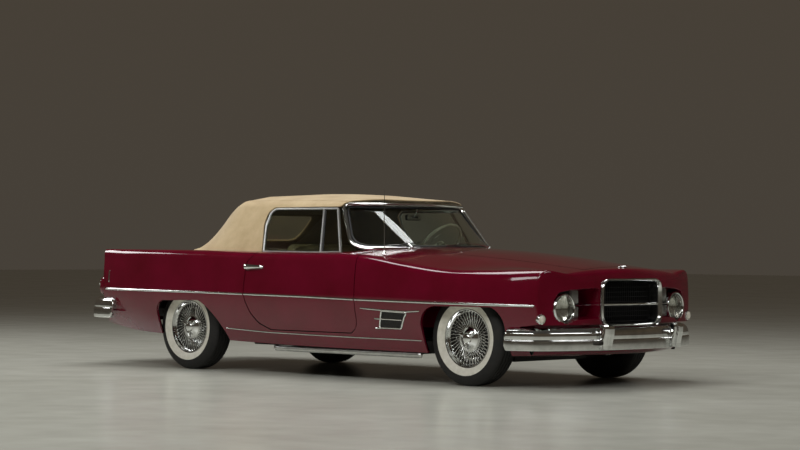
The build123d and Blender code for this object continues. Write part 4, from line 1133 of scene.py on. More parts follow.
def bumper_form(line, profile):
    """A pressed bar along a plan line; the profile is (outwards, z), a closed loop."""
    path = np.column_stack([line, np.zeros(len(line))])
    ahead = 1 if line[:, 0].max() > 0 else -1
    shape = np.asarray(profile, float)
    run = np.concatenate([[0], np.cumsum(np.linalg.norm(np.diff(line, axis=0), axis=1))])
    from_end = np.minimum(run, run[-1] - run)
    along = tangents(path)
    side = unit(np.cross(along, (0, 0, 1)))
    side *= np.sign(side[len(side) // 2, 0] * ahead)
    middle = (shape[:, 1].min() + shape[:, 1].max()) / 2
    # each end rounds off: its section gets lower, and moves in a little
    shrink = 0.62 + 0.38 * np.sqrt(1 - (1 - np.clip(from_end / 26.0, 0, 1)) ** 2)
    tuck = (1 - np.sqrt(1 - (1 - np.clip(from_end / 30.0, 0, 1)) ** 2)) * 10
    rows = []
    for p, s, k, inwards in zip(path, side, shrink, tuck):
        rows.append([p + s * (o - inwards) + np.array((0, 0, middle + (z - middle) * k)) for o, z in shape])
    return skin(rows)


front_line = bumper_path(
    2562.0, (2405.0, 700.0), (2362.0, 797.0), (2300.0, 878.0), (2204.0, 939.0), (2085.0, 968.0),
)
rear_line = bumper_path(
    -2585.0, (-2475.0, 700.0), (-2442.0, 808.0), (-2390.0, 900.0), (-2240.0, 961.0), (-2065.0, 990.0),
)
FRONT_SECTION = rounded([
    (-24, 271), (-3, 268), (0, 272), (0, 335), (-3, 340), (-9, 342), (-7, 352), (-6, 368), (-10, 388),
    (-20, 406), (-36, 420), (-47, 423), (-48, 419), (-36, 412), (-20, 395), (-14, 370), (-14, 346),
    (-24, 338),
], [3, 3, 3, 3, 3, 3, 6, 10, 10, 10, 6, 3, 3, 8, 8, 8, 4, 4], 3)
REAR_SECTION = rounded([
    (-26, 386), (-10, 383), (-2, 392), (0, 410), (0, 452), (-4, 462), (-9, 466), (-7, 480), (-8, 502),
    (-14, 524), (-26, 541), (-38, 548), (-40, 543), (-30, 532), (-20, 512), (-16, 480), (-16, 456),
    (-12, 400),
], [4, 6, 8, 10, 8, 3, 3, 6, 10, 10, 8, 3, 3, 8, 8, 8, 6, 4], 3)
form = bumper_form(front_line, FRONT_SECTION)
GUARD = [
    (2520, 446), (2556, 446), (2575, 436), (2583, 418), (2580, 380), (2568, 330), (2562, 300), (2560, 272),
    (2520, 272),
]
for side in (1, -1):
    rings = []
    for inset, y in ((8, -36), (2.5, -33), (0, -27), (0, 27), (2.5, 33), (8, 36)):
        q = offset(rounded(GUARD, [10, 10, 10, 12, 30, 30, 20, 6, 6], 3), -inset)
        across = np.full(len(q), 396.0 * side + y)
        rings.append(np.column_stack([q[:, 0] - 24 * (abs(y) > 30), across, q[:, 1]]))
    form.join(skin(rings))
    form.join(box(2340, 2528, *bracket_sides(side), 304, 330, 4, 1))
dress("front_bumper", form, [CHROME, IRON])
form = bumper_form(rear_line, REAR_SECTION)
for side in (1, -1):
    form.join(box(-2545, -2150, *bracket_sides(side), 400, 426, 4, 1))
dress("rear_bumper", form, [CHROME, IRON])

# ================================================================ grille, coves and lamps
def mouth_loop(x, inset):
    """A loop round the mouth, bowed back at its sides as the nose is."""
    loop = offset(MOUTH, -inset)
    return np.column_stack([x - 18.0 * (loop[:, 0] / MOUTH_HALF) ** 2, loop])


loops = []
for x, inset in (
    (2380, 3), (2440, 1.0), (2462, 0.5), (2472, 3), (2477, 8), (2477, 12), (2470, 18), (2452, 26), (2420, 31),
    (2385, 33), (2381, 31), (2381, 6),
):
    loops.append(mouth_loop(x, inset))
form = Form()
form.join(skin(loops, 0, closed=True))
duct = [mouth_loop(x, inset) for x, inset in ((2390, 30), (2330, 34), (2329, 20), (2389, 26))]
form.join(skin(duct, 1, closed=True))
bar = rounded([(0, -9), (9, -7), (13, 0), (9, 7), (0, 9), (-12, 7), (-12, -7)], 3, 3)
path = np.array([(2424 - 14 * (y / 320) ** 2, y, 578.0) for y in np.linspace(-318, 318, 25)])
form.join(sweep(path, bar, slot=0))
for k in range(26):
    y = -300 + 600 * k / 25
    form.join(box(2336, 2352, y - 1.6, y + 1.6, 440, 748, 1.0, 1))
for k in range(9):
    z = 460 + 270 * k / 8
    form.join(box(2340, 2349, -318, 318, z - 1.4, z + 1.4, 1.0, 1))
dress("grille", form, [CHROME, BLACK])


def cove_form():
    """One cove beside the mouth: pocket, ribbed insert in two tiers, chrome fin, headlamp with its rim."""
    form = Form()
    inner = offset(COVE, -1.5)
    rows = []
    for depth, inwards in ((4, 0), (26, 1), (92, 9), (170, 16)):
        q = offset(inner, -inwards)
        rows.append(np.column_stack([nose_x(q[:, 0]) - depth, q]))
    form.join(skin(rows, caps=False))
    # the pocket's back is a black sheet, painted shade for the dark deep in the cove
    back = offset(inner, -16)
    form.add(np.column_stack([nose_x(back[:, 0]) - 170, back]), [tuple(range(len(back)))], 2)
    for low, high in ((486, 566), (588, 680)):
        form.join(box(2322, 2332, 470, 546, low, high, 2, 3))
        for k in range(9):
            y = 474 + 8.4 * k
            form.join(box(2330, 2342, y - 1.9, y + 1.9, low + 3, high - 3, 1.2, 3))
    fin = rounded([(0, -5), (16, -3), (20, 0), (16, 3), (0, 5)], 1.5, 2)
    form.join(sweep(np.array([(2352, y, 577.0) for y in np.linspace(366, 546, 8)]), fin, slot=1))
    lamp = Form()
    lamp.join(lathe([
        (104, -60), (106, -10), (108, 6), (107, 15), (103, 21), (97, 22), (92.5, 18), (91, 12), (96, 4),
        (99, -12), (99, -60),
    ], 96, 1))
    lamp.join(lathe([(99, -30), (70, -44), (30, -54), (1, -57), (1, -59), (60, -56), (100, -34)], 64, 4))
    lamp.join(lathe([
        (1, 24), (24, 23.4), (48, 21.4), (70, 17.6), (84, 13.4), (92, 9.4), (92, 6), (70, 13), (40, 18.5),
        (1, 21),
    ], 64, 5))
    for k in range(-4, 5):
        y = 17.0 * k
        half = math.sqrt(max(0.0, 86**2 - y**2)) * 0.96
        zs = np.linspace(-half, half, 13)
        line = np.array([(y, z, 25.2 - 12.5 * (math.hypot(y, z) / 92) ** 2.2) for z in zs])
        lamp.join(tube(line, 1.6, 6, 5))
    form.join(lamp.placed((nose_x(LAMP_Y) - 34, LAMP_Y, LAMP_Z), (0, 1, 0), unit((1.0, 0.05, 0.0))))
    return form


cove_materials = [PAINT, CHROME, BLACK, ALLOY, CHROME, LAMP_GLASS]
coves = make("coves_dressed", cove_form().both(), cove_materials, "body", 38)
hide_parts("cove_grilles", "headlamps")

# ================================================================ trim along the sides
UPPER_TRIM = np.array([
    (-2207, 617), (-1600, 614), (-1002, 611), (-500, 606), (109, 600), (669, 589), (1200, 583), (1605, 579),
    (2296, 575),
], float)


def trim_line(x0, x1):
    """The upper side trim's line between two x, as (x, z)."""
    xs = np.linspace(x0, x1, max(4, int(abs(x1 - x0) / 14)))
    return np.column_stack([xs, np.interp(xs, UPPER_TRIM[:, 0], UPPER_TRIM[:, 1])])


def tapered(count, start, end):
    """A strip's size along its run, rounding off over so many points at its start and its end."""
    size = np.ones(count)
    if start:
        size[:start] = np.sqrt(1 - (1 - np.linspace(0.25, 1, start)) ** 2)
    if end:
        size[-end:] = np.minimum(size[-end:], np.sqrt(1 - (1 - np.linspace(1, 0.25, end)) ** 2))
    return size


body_trim, door_trim = Form(), Form()
for x0, x1, target, ends in (
    (-2186, -499, body_trim, (5, 0)), (-487, 679, door_trim, (0, 0)), (691, 2286, body_trim, (0, 2)),
):
    line = trim_line(x0, x1)
    q, n = on_surface(line, side_at, 14)
    target.join(moulding(q, n, strip_profile(17, 7.5), 0, scale=tapered(len(q), *ends)))
q, n = on_surface([(-746, 340), (-300, 322), (112, 316), (631, 312), (1290, 309)], side_at, 14)
body_trim.join(moulding(q, n, strip_profile(10, 5), 0, scale=tapered(len(q), 4, 4)))

# wing vent: a frame swept back from its spear, and two openings with a bar between; each opening is a black
# plate just under the skin, painted shade for the dark inside, with black louvres on it
q, n = on_surface(np.concatenate([VENT, VENT[:1]]), side_at, 9)
body_trim.join(moulding(q[:-1], n[:-1], strip_profile(13, 8), 0, closed=True))
for line, start, end in (
    ([(742, 528), (960, 518), (1190, 512), (1322, 520)], 9, 9), ([(872, 456), (1140, 451)], 6, 0),
    ([(866, 385), (920, 389)], 3, 0),
):
    q, n = on_surface(line, side_at, 10)
    body_trim.join(moulding(q, n, strip_profile(13, 8), 0, scale=tapered(len(q), start, end)))
# painted shade: a black plate just under the skin where the openings are dark inside
plate = []
for z in (388, 420, 452, 484, 514):
    left, right_x = np.interp(z, [388, 514], [904, 952]), np.interp(z, [388, 470, 514], [1124, 1168, 1200])
    row = [side_at(x, z) for x in np.linspace(left, right_x, 12)]
    plate.append([c - m * 1.7 for c, m in row])
body_trim.join(skin(plate, 1, ring=False))
for low, high in ((394, 444), (461, 506)):
    for k in range(5):
        z = lerp(low, high, (k + 0.5) / 5)
        q, n = on_surface([
            (np.interp(z, [388, 514], [912, 958]), z), (np.interp(z, [388, 470, 514], [1112, 1156, 1186]), z),
        ], side_at, 20)
        body_trim.join(moulding(q, n, [(-3.6, -2), (3.6, -2), (2.6, 0.6), (-3.0, 1.6)], 1))
# rear side marker strips
q, n = on_surface([(-2139, 672), (-2139, 769)], side_at, 10)
body_trim.join(moulding(q, n, strip_profile(13, 4), 0, scale=tapered(len(q), 2, 2)))
make("side_trim_body", body_trim.both(), [CHROME, BLACK], "body", 40)

# door handles: a tapered blade with a push button at its thick rear end
line = np.linspace(-286, -484, 15)
base, n = on_surface([(x, 812) for x in line], side_at, 14)
size = np.interp(np.linspace(0, 1, len(base)), [0, 0.06, 0.6, 0.93, 1], [0.4, 0.85, 1.45, 1.85, 0.9])
away = np.interp(np.linspace(0, 1, len(base)), [0, 0.12, 0.8, 1], [6, 17, 20, 12])
door_trim.join(moulding(base + n * away[:, None], n, circle(12, 16, 0.8), 0, scale=size))
for x in (-308, -462):
    c, m = side_at(x, 812)
    post = lathe([(13, -3), (13, 3), (9, 8), (7.5, 18), (0.5, 19), (0.5, -3)], 20, 0)
    door_trim.join(post.placed(c, (0, 0, 1), m))
c, m = side_at(-468, 800)
door_trim.join(lathe([(9.5, -3), (9.5, 7), (8, 10), (0.5, 11), (0.5, -3)], 24, 0).placed(c, (0, 0, 1), m))
for hand, form in (("left", door_trim), ("right", door_trim.mirrored())):
    make(f"side_trim_door_{hand}", form, [CHROME, BLACK], f"door_{hand}", 40)

# ================================================================ windscreen
# z, then x at the middle, x at the corner and half width there, at the screen's foot and its head
SCREEN_LOW, SCREEN_HIGH = (955.0, 825.0, 435.0, 762.0), (1288.0, 392.0, 233.0, 648.0)
GLASS_LOW_Z, GLASS_HIGH_Z = 958.0, 1286.0


def screen_row(z):
    """Where the screen's middle and its corners are at a height, and its half width there."""
    t = (z - SCREEN_LOW[0]) / (SCREEN_HIGH[0] - SCREEN_LOW[0])
    return [lerp(a, b, t) for a, b in zip(SCREEN_LOW[1:], SCREEN_HIGH[1:])]


def screen_point(share, z, ahead=0.0):
    """A point of the screen at a share of its half width, moved forwards by ahead."""
    mid, corner_x, half = screen_row(z)
    deep = mid - corner_x
    r = (half**2 + deep**2) / (2 * deep)
    y = share * half
    return np.array([mid - r + math.sqrt(r * r - y * y) + ahead, y, z])


def screen_loop(inset):
    """The screen's outline as points, inset all round, with rounded corners."""
    low, high = SCREEN_LOW[3] - inset, SCREEN_HIGH[3] - inset
    low_z, high_z = GLASS_LOW_Z + inset, SCREEN_HIGH[0] - inset
    flat = rounded([(-low, low_z), (low, low_z), (high, high_z), (-high, high_z)], [62, 62, 48, 48], 8)
    out, normals = [], []
    for y, z in even(flat, 26, True):
        share = y / screen_row(z)[2]
        du = screen_point(min(1, share + 0.01), z) - screen_point(share - 0.01, z)
        dv = screen_point(share, z + 2) - screen_point(share, z - 2)
        n = unit(np.cross(du, dv))
        out.append(screen_point(share, z))
        normals.append(n * np.sign(n[0]))
    return np.array(out), np.array(normals)


form = Form()
q, n = screen_loop(0)
section = rounded([(-15, -14), (15, -14), (16, 4), (10, 12), (0, 15), (-9, 12), (-14, 5)], 3, 2)
form.join(moulding(q, n, section, 0, closed=True))
q, n = screen_loop(19)
form.join(moulding(q, n, [(-7, -7), (7, -7), (7, 3), (3, 6), (-3, 6), (-7, 3)], 1, closed=True))
dress("windscreen_frame", form, [CHROME, BLACK], angle=44)
rows = []
for z in np.linspace(GLASS_LOW_Z, GLASS_HIGH_Z, 14):
    half = lerp(SCREEN_LOW[3], SCREEN_HIGH[3], (z - GLASS_LOW_Z) / (GLASS_HIGH_Z - GLASS_LOW_Z)) - 14
    rows.append([screen_point(y / screen_row(z)[2], z, -4) for y in np.linspace(-half, half, 41)])
front_face = np.array(rows)
sections = np.concatenate([front_face, (front_face - (5.5, 0, 0))[:, ::-1]], axis=1)
dress("windscreen_glass", skin(sections), [GLASS], 50)

# wipers, mirror and aerial
AERIAL = top_at(820.0, 815.0)[0] * (1, -1, 1)
form = Form()
for side in (1, -1):
    pivot = np.array([742.0, 440.0 * side, 962.0])
    boss = lathe([(13, -10), (13, 6), (9, 14), (0.5, 16), (0.5, -10)], 20, 0)
    form.join(boss.placed(pivot, (1, 0, 0), unit((0.5, 0, 1))))
    a = screen_point(-0.16 if side > 0 else -0.78, 984, 14)
    b = screen_point(0.26 if side > 0 else -0.42, 1010, 14)
    mid = lerp(a, b, 0.5)
    form.join(tube(
        spline([pivot + (0, 0, 12), lerp(pivot, mid, 0.5) + (8, 0, 18), mid + (6, 0, 4)], 10),
        np.linspace(5, 3, 10), 8,
    ))
    blade = spline([a, screen_point((-0.16 + 0.26) / 2 if side > 0 else -0.6, 992, 15), b], 12)
    form.join(tube(blade, 3.6, 6, 0))
    form.join(tube(blade - np.array((6, 0, 2)), 4.0, 4, 1))
foot = lathe([(17, -6), (17, 2), (11, 10), (6, 26), (0.5, 27), (0.5, -6)], 20, 0)
form.join(foot.placed((AERIAL[0], AERIAL[1], AERIAL[2] - 2), (1, 0, 0), (0, -0.1, 1)))
mast = np.array([AERIAL + (0, 0, 18), AERIAL + (2, -4, 230), AERIAL + (3, -6, 470)])
form.join(tube(mast, [3.4, 2.8, 2.2], 8, 0))
make("wipers_and_aerial", form, [CHROME, BLACK], "body", 40)
form = Form()
mirror_line = rounded([(-84, -22), (84, -22), (80, 22), (-80, 22)], 16, 4)
form.join(slab(mirror_line, 22, 7, 1, back=-11, crown=3).placed((352, -6, 1196), (0, 1, 0), (1, 0, 0.1)))
glass = slab(offset(mirror_line, -5), 2, 0.6, 0, back=-13)
form.join(glass.placed((352, -6, 1196), (0, -1, 0), (-1, 0, -0.1)))
form.join(tube(spline([(362, -6, 1200), (384, -6, 1236), (396, -6, 1276)], 8), 5.5, 10, 0))
mount = lathe([(18, 0), (17, 4), (8, 9), (0.5, 10), (0.5, 0)], 20, 0)
form.join(mount.placed((399, -6, 1282), (0, 1, 0), (-0.6, 0, -0.8)))
make("inside_mirror", form, [CHROME, BLACK], "body", 40)

# ================================================================ door glass and its frames
# The glass leans in to its roof rail; each line here lies on that plane.
BELT_Y, BELT_Z, PANE_LEAN, PANE_HIGH = 868.0, 905.0, 160.0, 347.0


def pane_point(x, z):
    """The point of the door glass's plane at x and z."""
    return np.array([x, BELT_Y - PANE_LEAN * ((z - BELT_Z) / PANE_HIGH), z])


PANE_NORMAL = unit((0.0, PANE_HIGH, PANE_LEAN))
PANE = rounded(
    [(440, 897), (246, 1250), (-420, 1250), (-462, 1226), (-470, 1133), (-390, 897)],
    [10, 16, 60, 50, 90, 10], 6,
)
form = skin([[pane_point(x, z) + PANE_NORMAL * out for x, z in PANE] for out in (-3.0, 3.0)])
run = rounded(
    [(428, 905), (240, 1253), (-424, 1255), (-468, 1228), (-476, 1133), (-397, 905)], [4, 10, 60, 50, 90, 4],
    6,
)
round_pane = np.array([pane_point(x, z) for x, z in even(run, 14)])
post = even(np.array([pane_point(214, 908), pane_point(96, 1250)]), 14)
post_seal = even(np.array([pane_point(232, 915), pane_point(114, 1244)]), 14)
trims = Form()
for q, section, slot in (
    (round_pane, [(-8, -8), (8, -8), (9, 0), (6, 9), (-6, 9), (-9, 0)], 0),
    (post, [(-8, -8), (8, -8), (8, 5), (4, 9), (-4, 9), (-8, 5)], 0),
    (post_seal, [(-5, -7), (5, -7), (5, 5), (-5, 5)], 1),
):
    trims.join(moulding(q, np.broadcast_to(PANE_NORMAL, q.shape), section, slot))
q, n = on_surface([(x, BELT_Y) for x in np.linspace(415, -403, 50)], top_at, 16)
q[:, 2] += 0.5
trims.join(moulding(q, n, strip_profile(15, 7), 0))
for hand, glass, frames in (("left", form, trims), ("right", form.mirrored(), trims.mirrored())):
    door = f"door_{hand}"
    dress(f"door_window_{hand}", glass, [GLASS], body=door, name=f"door_glass_{hand}")
    make(f"door_glass_frame_{hand}", frames, [ALLOY, BLACK], door, 44)

# ================================================================ soft top
# Rows of the stretched cover from the screen header to the back: x; foot y, z; rail y, z; crown z.
TOP_ROWS = np.array([
    (462, 862, 940, 620, 1302, 1314), (420, 864, 930, 630, 1303, 1326), (233, 866, 928, 668, 1295, 1354),
    (-80, 868, 928, 682, 1297, 1374), (-400, 868, 928, 690, 1298, 1384), (-680, 866, 928, 684, 1296, 1382),
    (-900, 862, 928, 668, 1280, 1366), (-1090, 850, 930, 655, 1130, 1282), (-1270, 800, 934, 640, 985, 1134),
    (-1390, 680, 942, 600, 958, 1030), (-1505, 520, 950, 470, 955, 964),
], float)[::-1]
TOP_STEP, TOP_COLUMNS = 12.0, 121
TOP_MIDDLE = TOP_COLUMNS // 2
xs = np.arange(-1500, 470, TOP_STEP)
rows = along_rows(xs, TOP_ROWS)
sections = []
for x, (fy, fz, ry, rz, cz) in zip(xs, rows):
    half = [(fy, fz), (ry + 6, rz - 6), (ry * 0.93, lerp(rz, cz, 0.28)), (ry * 0.6, lerp(rz, cz, 0.74))]
    line = [*half, (0, cz), *((-y, z) for y, z in half[::-1])]
    line = even(rounded(line, [0, 60, 60, 200, 300, 200, 60, 60, 0], 8, closed=False), 1.0)
    run = np.linspace(0, len(line) - 1, TOP_COLUMNS)
    line = np.stack([np.interp(run, np.arange(len(line)), line[:, k]) for k in range(2)], axis=1)
    sections.append(np.column_stack([np.full(len(line), x), line]))
TOP = np.array(sections)
du, dv = np.gradient(TOP, axis=0), np.gradient(TOP, axis=1)
TOP_NORMALS = unit(np.cross(dv, du))
TOP_NORMALS *= np.sign(TOP_NORMALS[60, TOP_MIDDLE, 2])
WINDOW_CUT = rounded([
    (-412, 780), (-412, 905), (-503, 1133), (-500, 1232), (-440, 1270), (262, 1272), (700, 1272), (700, 780),
], [0, 20, 90, 50, 60, 40, 0, 0], 6)
REAR_WINDOW = rounded([(-400, 1020), (400, 1020), (380, 1225), (-380, 1225)], 60, 8)


def header_x(y):
    """Where the cover ends over the screen header, an arc across the car."""
    return 428.0 - 168.0 * (np.abs(y) / 648.0) ** 2


def top_keep(x, y, z):
    """Above zero where the cover is: behind the header, and outside its side and rear windows."""
    window = -inside_polygon(x, z, WINDOW_CUT)
    rear = np.maximum(-inside_polygon(y, z, REAR_WINDOW), x + 1000.0)
    return lowest(window, header_x(y) - x, rear)


value = top_keep(TOP[..., 0], TOP[..., 1], TOP[..., 2])
p, n, faces = cut_grid(TOP, TOP_NORMALS, value)
faces = facing(p, n, faces, 50)
count = len(p)
rim = rim_edges(faces)
inner_faces = [tuple(count + k for k in face[::-1]) for face in faces]
walls = [(b, a, count + a, count + b) for a, b in rim]


def cloth(outer, inner):
    """A layer of the cover between two distances from its middle surface."""
    return Form().add(np.concatenate([p + n * outer, p + n * inner]), faces + inner_faces + walls)


cover = dress("soft_top", cloth(1.5, -1.5), [CANVAS], 60, name="soft_top_cover")
make("headlining", cloth(-9, -11), [HEADLINER], "body", 60)

# seams and bound edges
def top_line(keys):
    """Points and normals on the cover along a line of (x, share of the section from left to right)."""
    out, ways = [], []
    for x, share in even(np.asarray(keys, float) * (1, 1000), 16.0):
        f = (x - xs[0]) / TOP_STEP
        i = int(np.clip(math.floor(f), 0, len(xs) - 2))
        j = share / 1000 * (TOP_COLUMNS - 1)
        k = int(np.clip(math.floor(j), 0, TOP_COLUMNS - 2))
        for grid, target in ((TOP, out), (TOP_NORMALS, ways)):
            a = lerp(grid[i, k], grid[i + 1, k], f - i)
            b = lerp(grid[i, k + 1], grid[i + 1, k + 1], f - i)
            target.append(lerp(a, b, j - k))
    return np.array(out), unit(np.array(ways))


form = Form()
for share in (0.215, 0.785):
    q, w = top_line([(240, share), (-1440, share)])
    form.join(moulding(q + w * 1.5, w, [(-9, -1), (9, -1), (8, 1.6), (3, 2.6), (-3, 2.6), (-8, 1.6)], 0))


def bind(line, ways, closed=False):
    """A piping of cloth along a run of the cover's edge."""
    q = even(line, 14, closed)
    nearest = [int(np.argmin(np.sum((line - v) ** 2, axis=1))) for v in q]
    form.join(moulding(q, ways[nearest], circle(4.2, 8), 0, closed=closed))


follow = dict(rim)
while follow:
    start = next(iter(follow))
    loop, at = [start], follow.pop(start)
    while at in follow:
        loop.append(at)
        at = follow.pop(at)
    if len(loop) < 12:
        continue
    line, ways = p[loop], n[loop]
    # all is bound but the foot at each side, which is tucked in
    bound = ~((line[:, 2] < 945) & (np.abs(line[:, 1]) > 300))
    if bound.all():
        bind(line, ways, closed=True)
        continue
    first = int(np.argmin(bound))
    run = []
    for k in [*np.roll(np.arange(len(line)), -first), first]:
        if bound[k]:
            run.append(k)
            continue
        if len(run) > 8:
            bind(line[run], ways[run])
        run = []
make("soft_top_binding", form, [CANVAS], "body", 50)

# the chrome header over the screen
ys = np.linspace(-636, 636, 61)
header = np.column_stack([header_x(ys) + 6, ys, 1300.0 - 6.0 * (ys / 636) ** 2])
header_section = rounded([(-12, -14), (10, -14), (14, -6), (12, 4), (2, 8), (-12, 6)], 3, 2)
make("header_rail", sweep(header, header_section), [CHROME], "body", 44)

# ================================================================ parking lamps and tail
form = Form()
form.join(lathe([
    (10, -110), (22, -84), (30, -44), (34, -8), (35, 6), (34, 12), (31, 15), (29.5, 11), (29, -2), (0.5, -4),
    (0.5, -110),
], 48, 0))
form.join(lathe([(29, 6), (28, 14), (22, 21), (12, 25), (0.5, 26.5), (0.5, 6)], 40, 1))
for k in range(-3, 4):
    half = math.sqrt(28.0**2 - (k * 8.0) ** 2) * 0.92
    rib = [(k * 8.0, z, 23.0 - 7 * (math.hypot(k * 8.0, z) / 29) ** 2) for z in np.linspace(-half, half, 7)]
    form.join(tube(np.array(rib), 1.0, 6, 1))
parking = form.placed((2312, 838, 484), (0, 1, 0), unit((1.0, 0.12, 0.0))).both()
dress("parking_lamps", parking, [CHROME, PALE_GLASS])

# the tail's face, bounded by the skin's own rear edge
points = SURFACE[0]
beyond = points[..., 0] - tail_plane(points[..., 1])
tail_edge = np.array([passing(j, beyond, points)[0][1:] for j in range(points.shape[1])])
yy, zz = np.meshgrid(np.arange(-966, 967, 9.0), np.arange(330, 960, 9.0), indexing="ij")
grid = np.stack([tail_plane(yy), yy, zz], axis=-1)
tail_slope = 2 * TAIL_BOW * yy / TAIL_BOW_Y**2
ways = unit(np.stack([-np.ones_like(yy), tail_slope, np.zeros_like(yy)], axis=-1))
p, n, faces = cut_grid(grid, ways, np.minimum(inside_polygon(yy, zz, tail_edge) + 0.4, zz - 340.0))
p, n, faces = hemmed(p, n, facing(p, n, faces, 10), 14, roll=1.0)
make("tail_panel", Form().add(p, faces), [PAINT], "body", normals=n)

# a rounded pod at each side of the tail carries a round red lamp
LAMP_POD_Y = 846


def squared(value):
    """A cosine or sine made fuller, for a loop between an ellipse and a box."""
    return math.copysign(abs(value) ** 0.8, value)


lamp_form = Form()
sections = []
for x, size in ((-2215, 1.02), (-2260, 1.0), (-2296, 0.96), (-2318, 0.9), (-2332, 0.8), (-2340, 0.68)):
    wide, high = 44 * size, 84 * size
    sections.append(
        [(x, LAMP_POD_Y + wide * squared(math.cos(a)), 640 + high * squared(math.sin(a))) for a in angles(40)]
    )
lamp_form.join(
    lathe([(27, -12), (34, 0), (34.5, 6), (32, 9), (28, 6), (27, -2), (0.5, -4), (0.5, -12)], 48, 0)
)
lamp_form.join(lathe([(28, 2), (26, 8), (20, 14), (10, 18), (0.5, 19), (0.5, 2)], 40, 1))
lamps = lamp_form.placed((-2338, LAMP_POD_Y, 662), (0, 1, 0), (-1, 0.02, 0)).both()
make("tail_pods", skin(sections).both(), [PAINT], "body", 50)
dress("tail_lamps", lamps, [CHROME, RED_GLASS])

# the bright tube under each sill
rail = spline([
    (1226, 846, 206), (1180, 858, 201), (900, 858, 201), (300, 858, 201), (-200, 858, 201), (-262, 850, 206),
    (-300, 832, 214),
], 60)
size = np.interp(np.arange(60), [0, 3, 52, 59], [12, 21, 21, 8])
make("sill_rails", tube(rail, size, 20).both(), [ALLOY], "body", 50)

# the clear pane of the soft top's back
rows = []
for z in np.linspace(1012, 1233, 12):
    half = 408 - 16 * (z - 1012) / 221
    row = []
    for y in np.linspace(-half, half, 25):
        k = int(np.clip(round(TOP_MIDDLE + y / 11.0), 20, 100))
        column = TOP[:46, k]
        row.append((np.interp(z, column[:, 2], column[:, 0]), y, z))
    rows.append(row)
rows = np.array(rows)
pane = np.concatenate([rows + (5, 0, -5), (rows + (7, 0, -7))[:, ::-1]], axis=1)
make("soft_top_window", skin(pane), [VINYL], "body", 50)

# ================================================================ seats
def cushion(x0, x1, y0, y1, z0, z1, crown):
    """A stuffed pad: a rounded block whose upper face swells."""
    outline = even(rounded([(x0, y0), (x1, y0), (x1, y1), (x0, y1)], min(70.0, (x1 - x0) * 0.3), 6), 30, True)
    centre = np.array([(x0 + x1) / 2, (y0 + y1) / 2])
    levels = [
        (0.90, z0), (0.98, z0 + 12), (1.0, z0 + 30), (1.0, z1 - 34), (0.985, z1 - 16), (0.955, z1 - 4),
        (0.90, z1),
    ]
    levels += [(share, z1 + crown * (1 - share**2)) for share in (0.75, 0.5, 0.25, 0.05)]
    return skin([level(centre + (outline - centre) * share, z) for share, z in levels])


def back_form(points, y0, y1, thick, bow):
    """A stuffed seat back along its side view, its upper corners rounded and its front swollen."""
    line = spline(np.array(points, float), 22)
    along = unit(np.gradient(line, axis=0))
    normal = np.column_stack([along[:, 1], -along[:, 0]])
    normal = normal * np.sign(normal[:, 0].sum())
    sections = []
    for k, (p, m) in enumerate(zip(line, normal)):
        t = k / (len(line) - 1)
        round_off = math.sqrt(max(0.0, 1 - (max(0.0, t - 0.84) / 0.16) ** 2))
        half = thick / 2 * (0.3 + 0.7 * round_off)
        cut = 34 * (1 - round_off)
        edge = rounded([(y0 + cut, -half), (y1 - cut, -half), (y1 - cut, half), (y0 + cut, half)], 40, 8)
        loop = []
        for y, h in edge:
            u = (y - y0) / (y1 - y0)
            out = h + (bow * (1 - (2 * u - 1) ** 4) if h > 0 else 0.0)
            loop.append((p[0] + m[0] * out, y, p[1] + m[1] * out))
        sections.append(loop)
    return skin(sections)


FRONT_BACK = [(-172, 470), (-232, 700), (-290, 880), (-300, 985)]
SEATS = (
    ("front_seat", [
        cushion(-236, 290, -692, -4, 300, 560, 26),
        cushion(-236, 290, 4, 692, 300, 560, 26),
        back_form(FRONT_BACK, -688, -5, 104, 16),
        back_form(FRONT_BACK, 5, 688, 104, 16),
    ]),
    ("rear_seat", [
        cushion(-1110, -702, -600, 600, 482, 618, 22),
        back_form([(-1085, 520), (-1130, 700), (-1180, 860), (-1196, 945)], -600, 600, 92, 14),
    ]),
)
for node, forms in SEATS:
    whole = Form()
    for f in forms:
        whole.join(f)
    seat = dress(node, whole, [LEATHER, LEATHER_RED], 180, name=f"{node}_padded")

# pleats and welts on the seats
form = Form()
for y in list(np.arange(-640, 0, 58)) + list(np.arange(52, 660, 58)):
    form.join(tube([(x, y, 587.0) for x in np.linspace(-150, 250, 14)], 3.0, 6))
make("seat_pleats", form, [LEATHER], "body", 50)

# carpets over the floor and the tunnel
half = [(-832, 289), (-176, 289), (-153, 424)]
tunnel = rounded([*half, *((-y, z) for y, z in half[::-1])], [0, 30, 30, 30, 30, 0], 5, closed=False)
tunnel = even(tunnel, 24)
upper = [
    np.column_stack([np.full(len(tunnel), x), tunnel[:, 0], tunnel[:, 1] + 6])
    for x in np.linspace(-690, 520, 30)
]
lower = [row - (0, 0, 5) for row in upper]
sections = [np.concatenate([a, b[::-1]]) for a, b in zip(upper, lower)]
make("carpets", skin(sections), [CARPET], "body", 50)

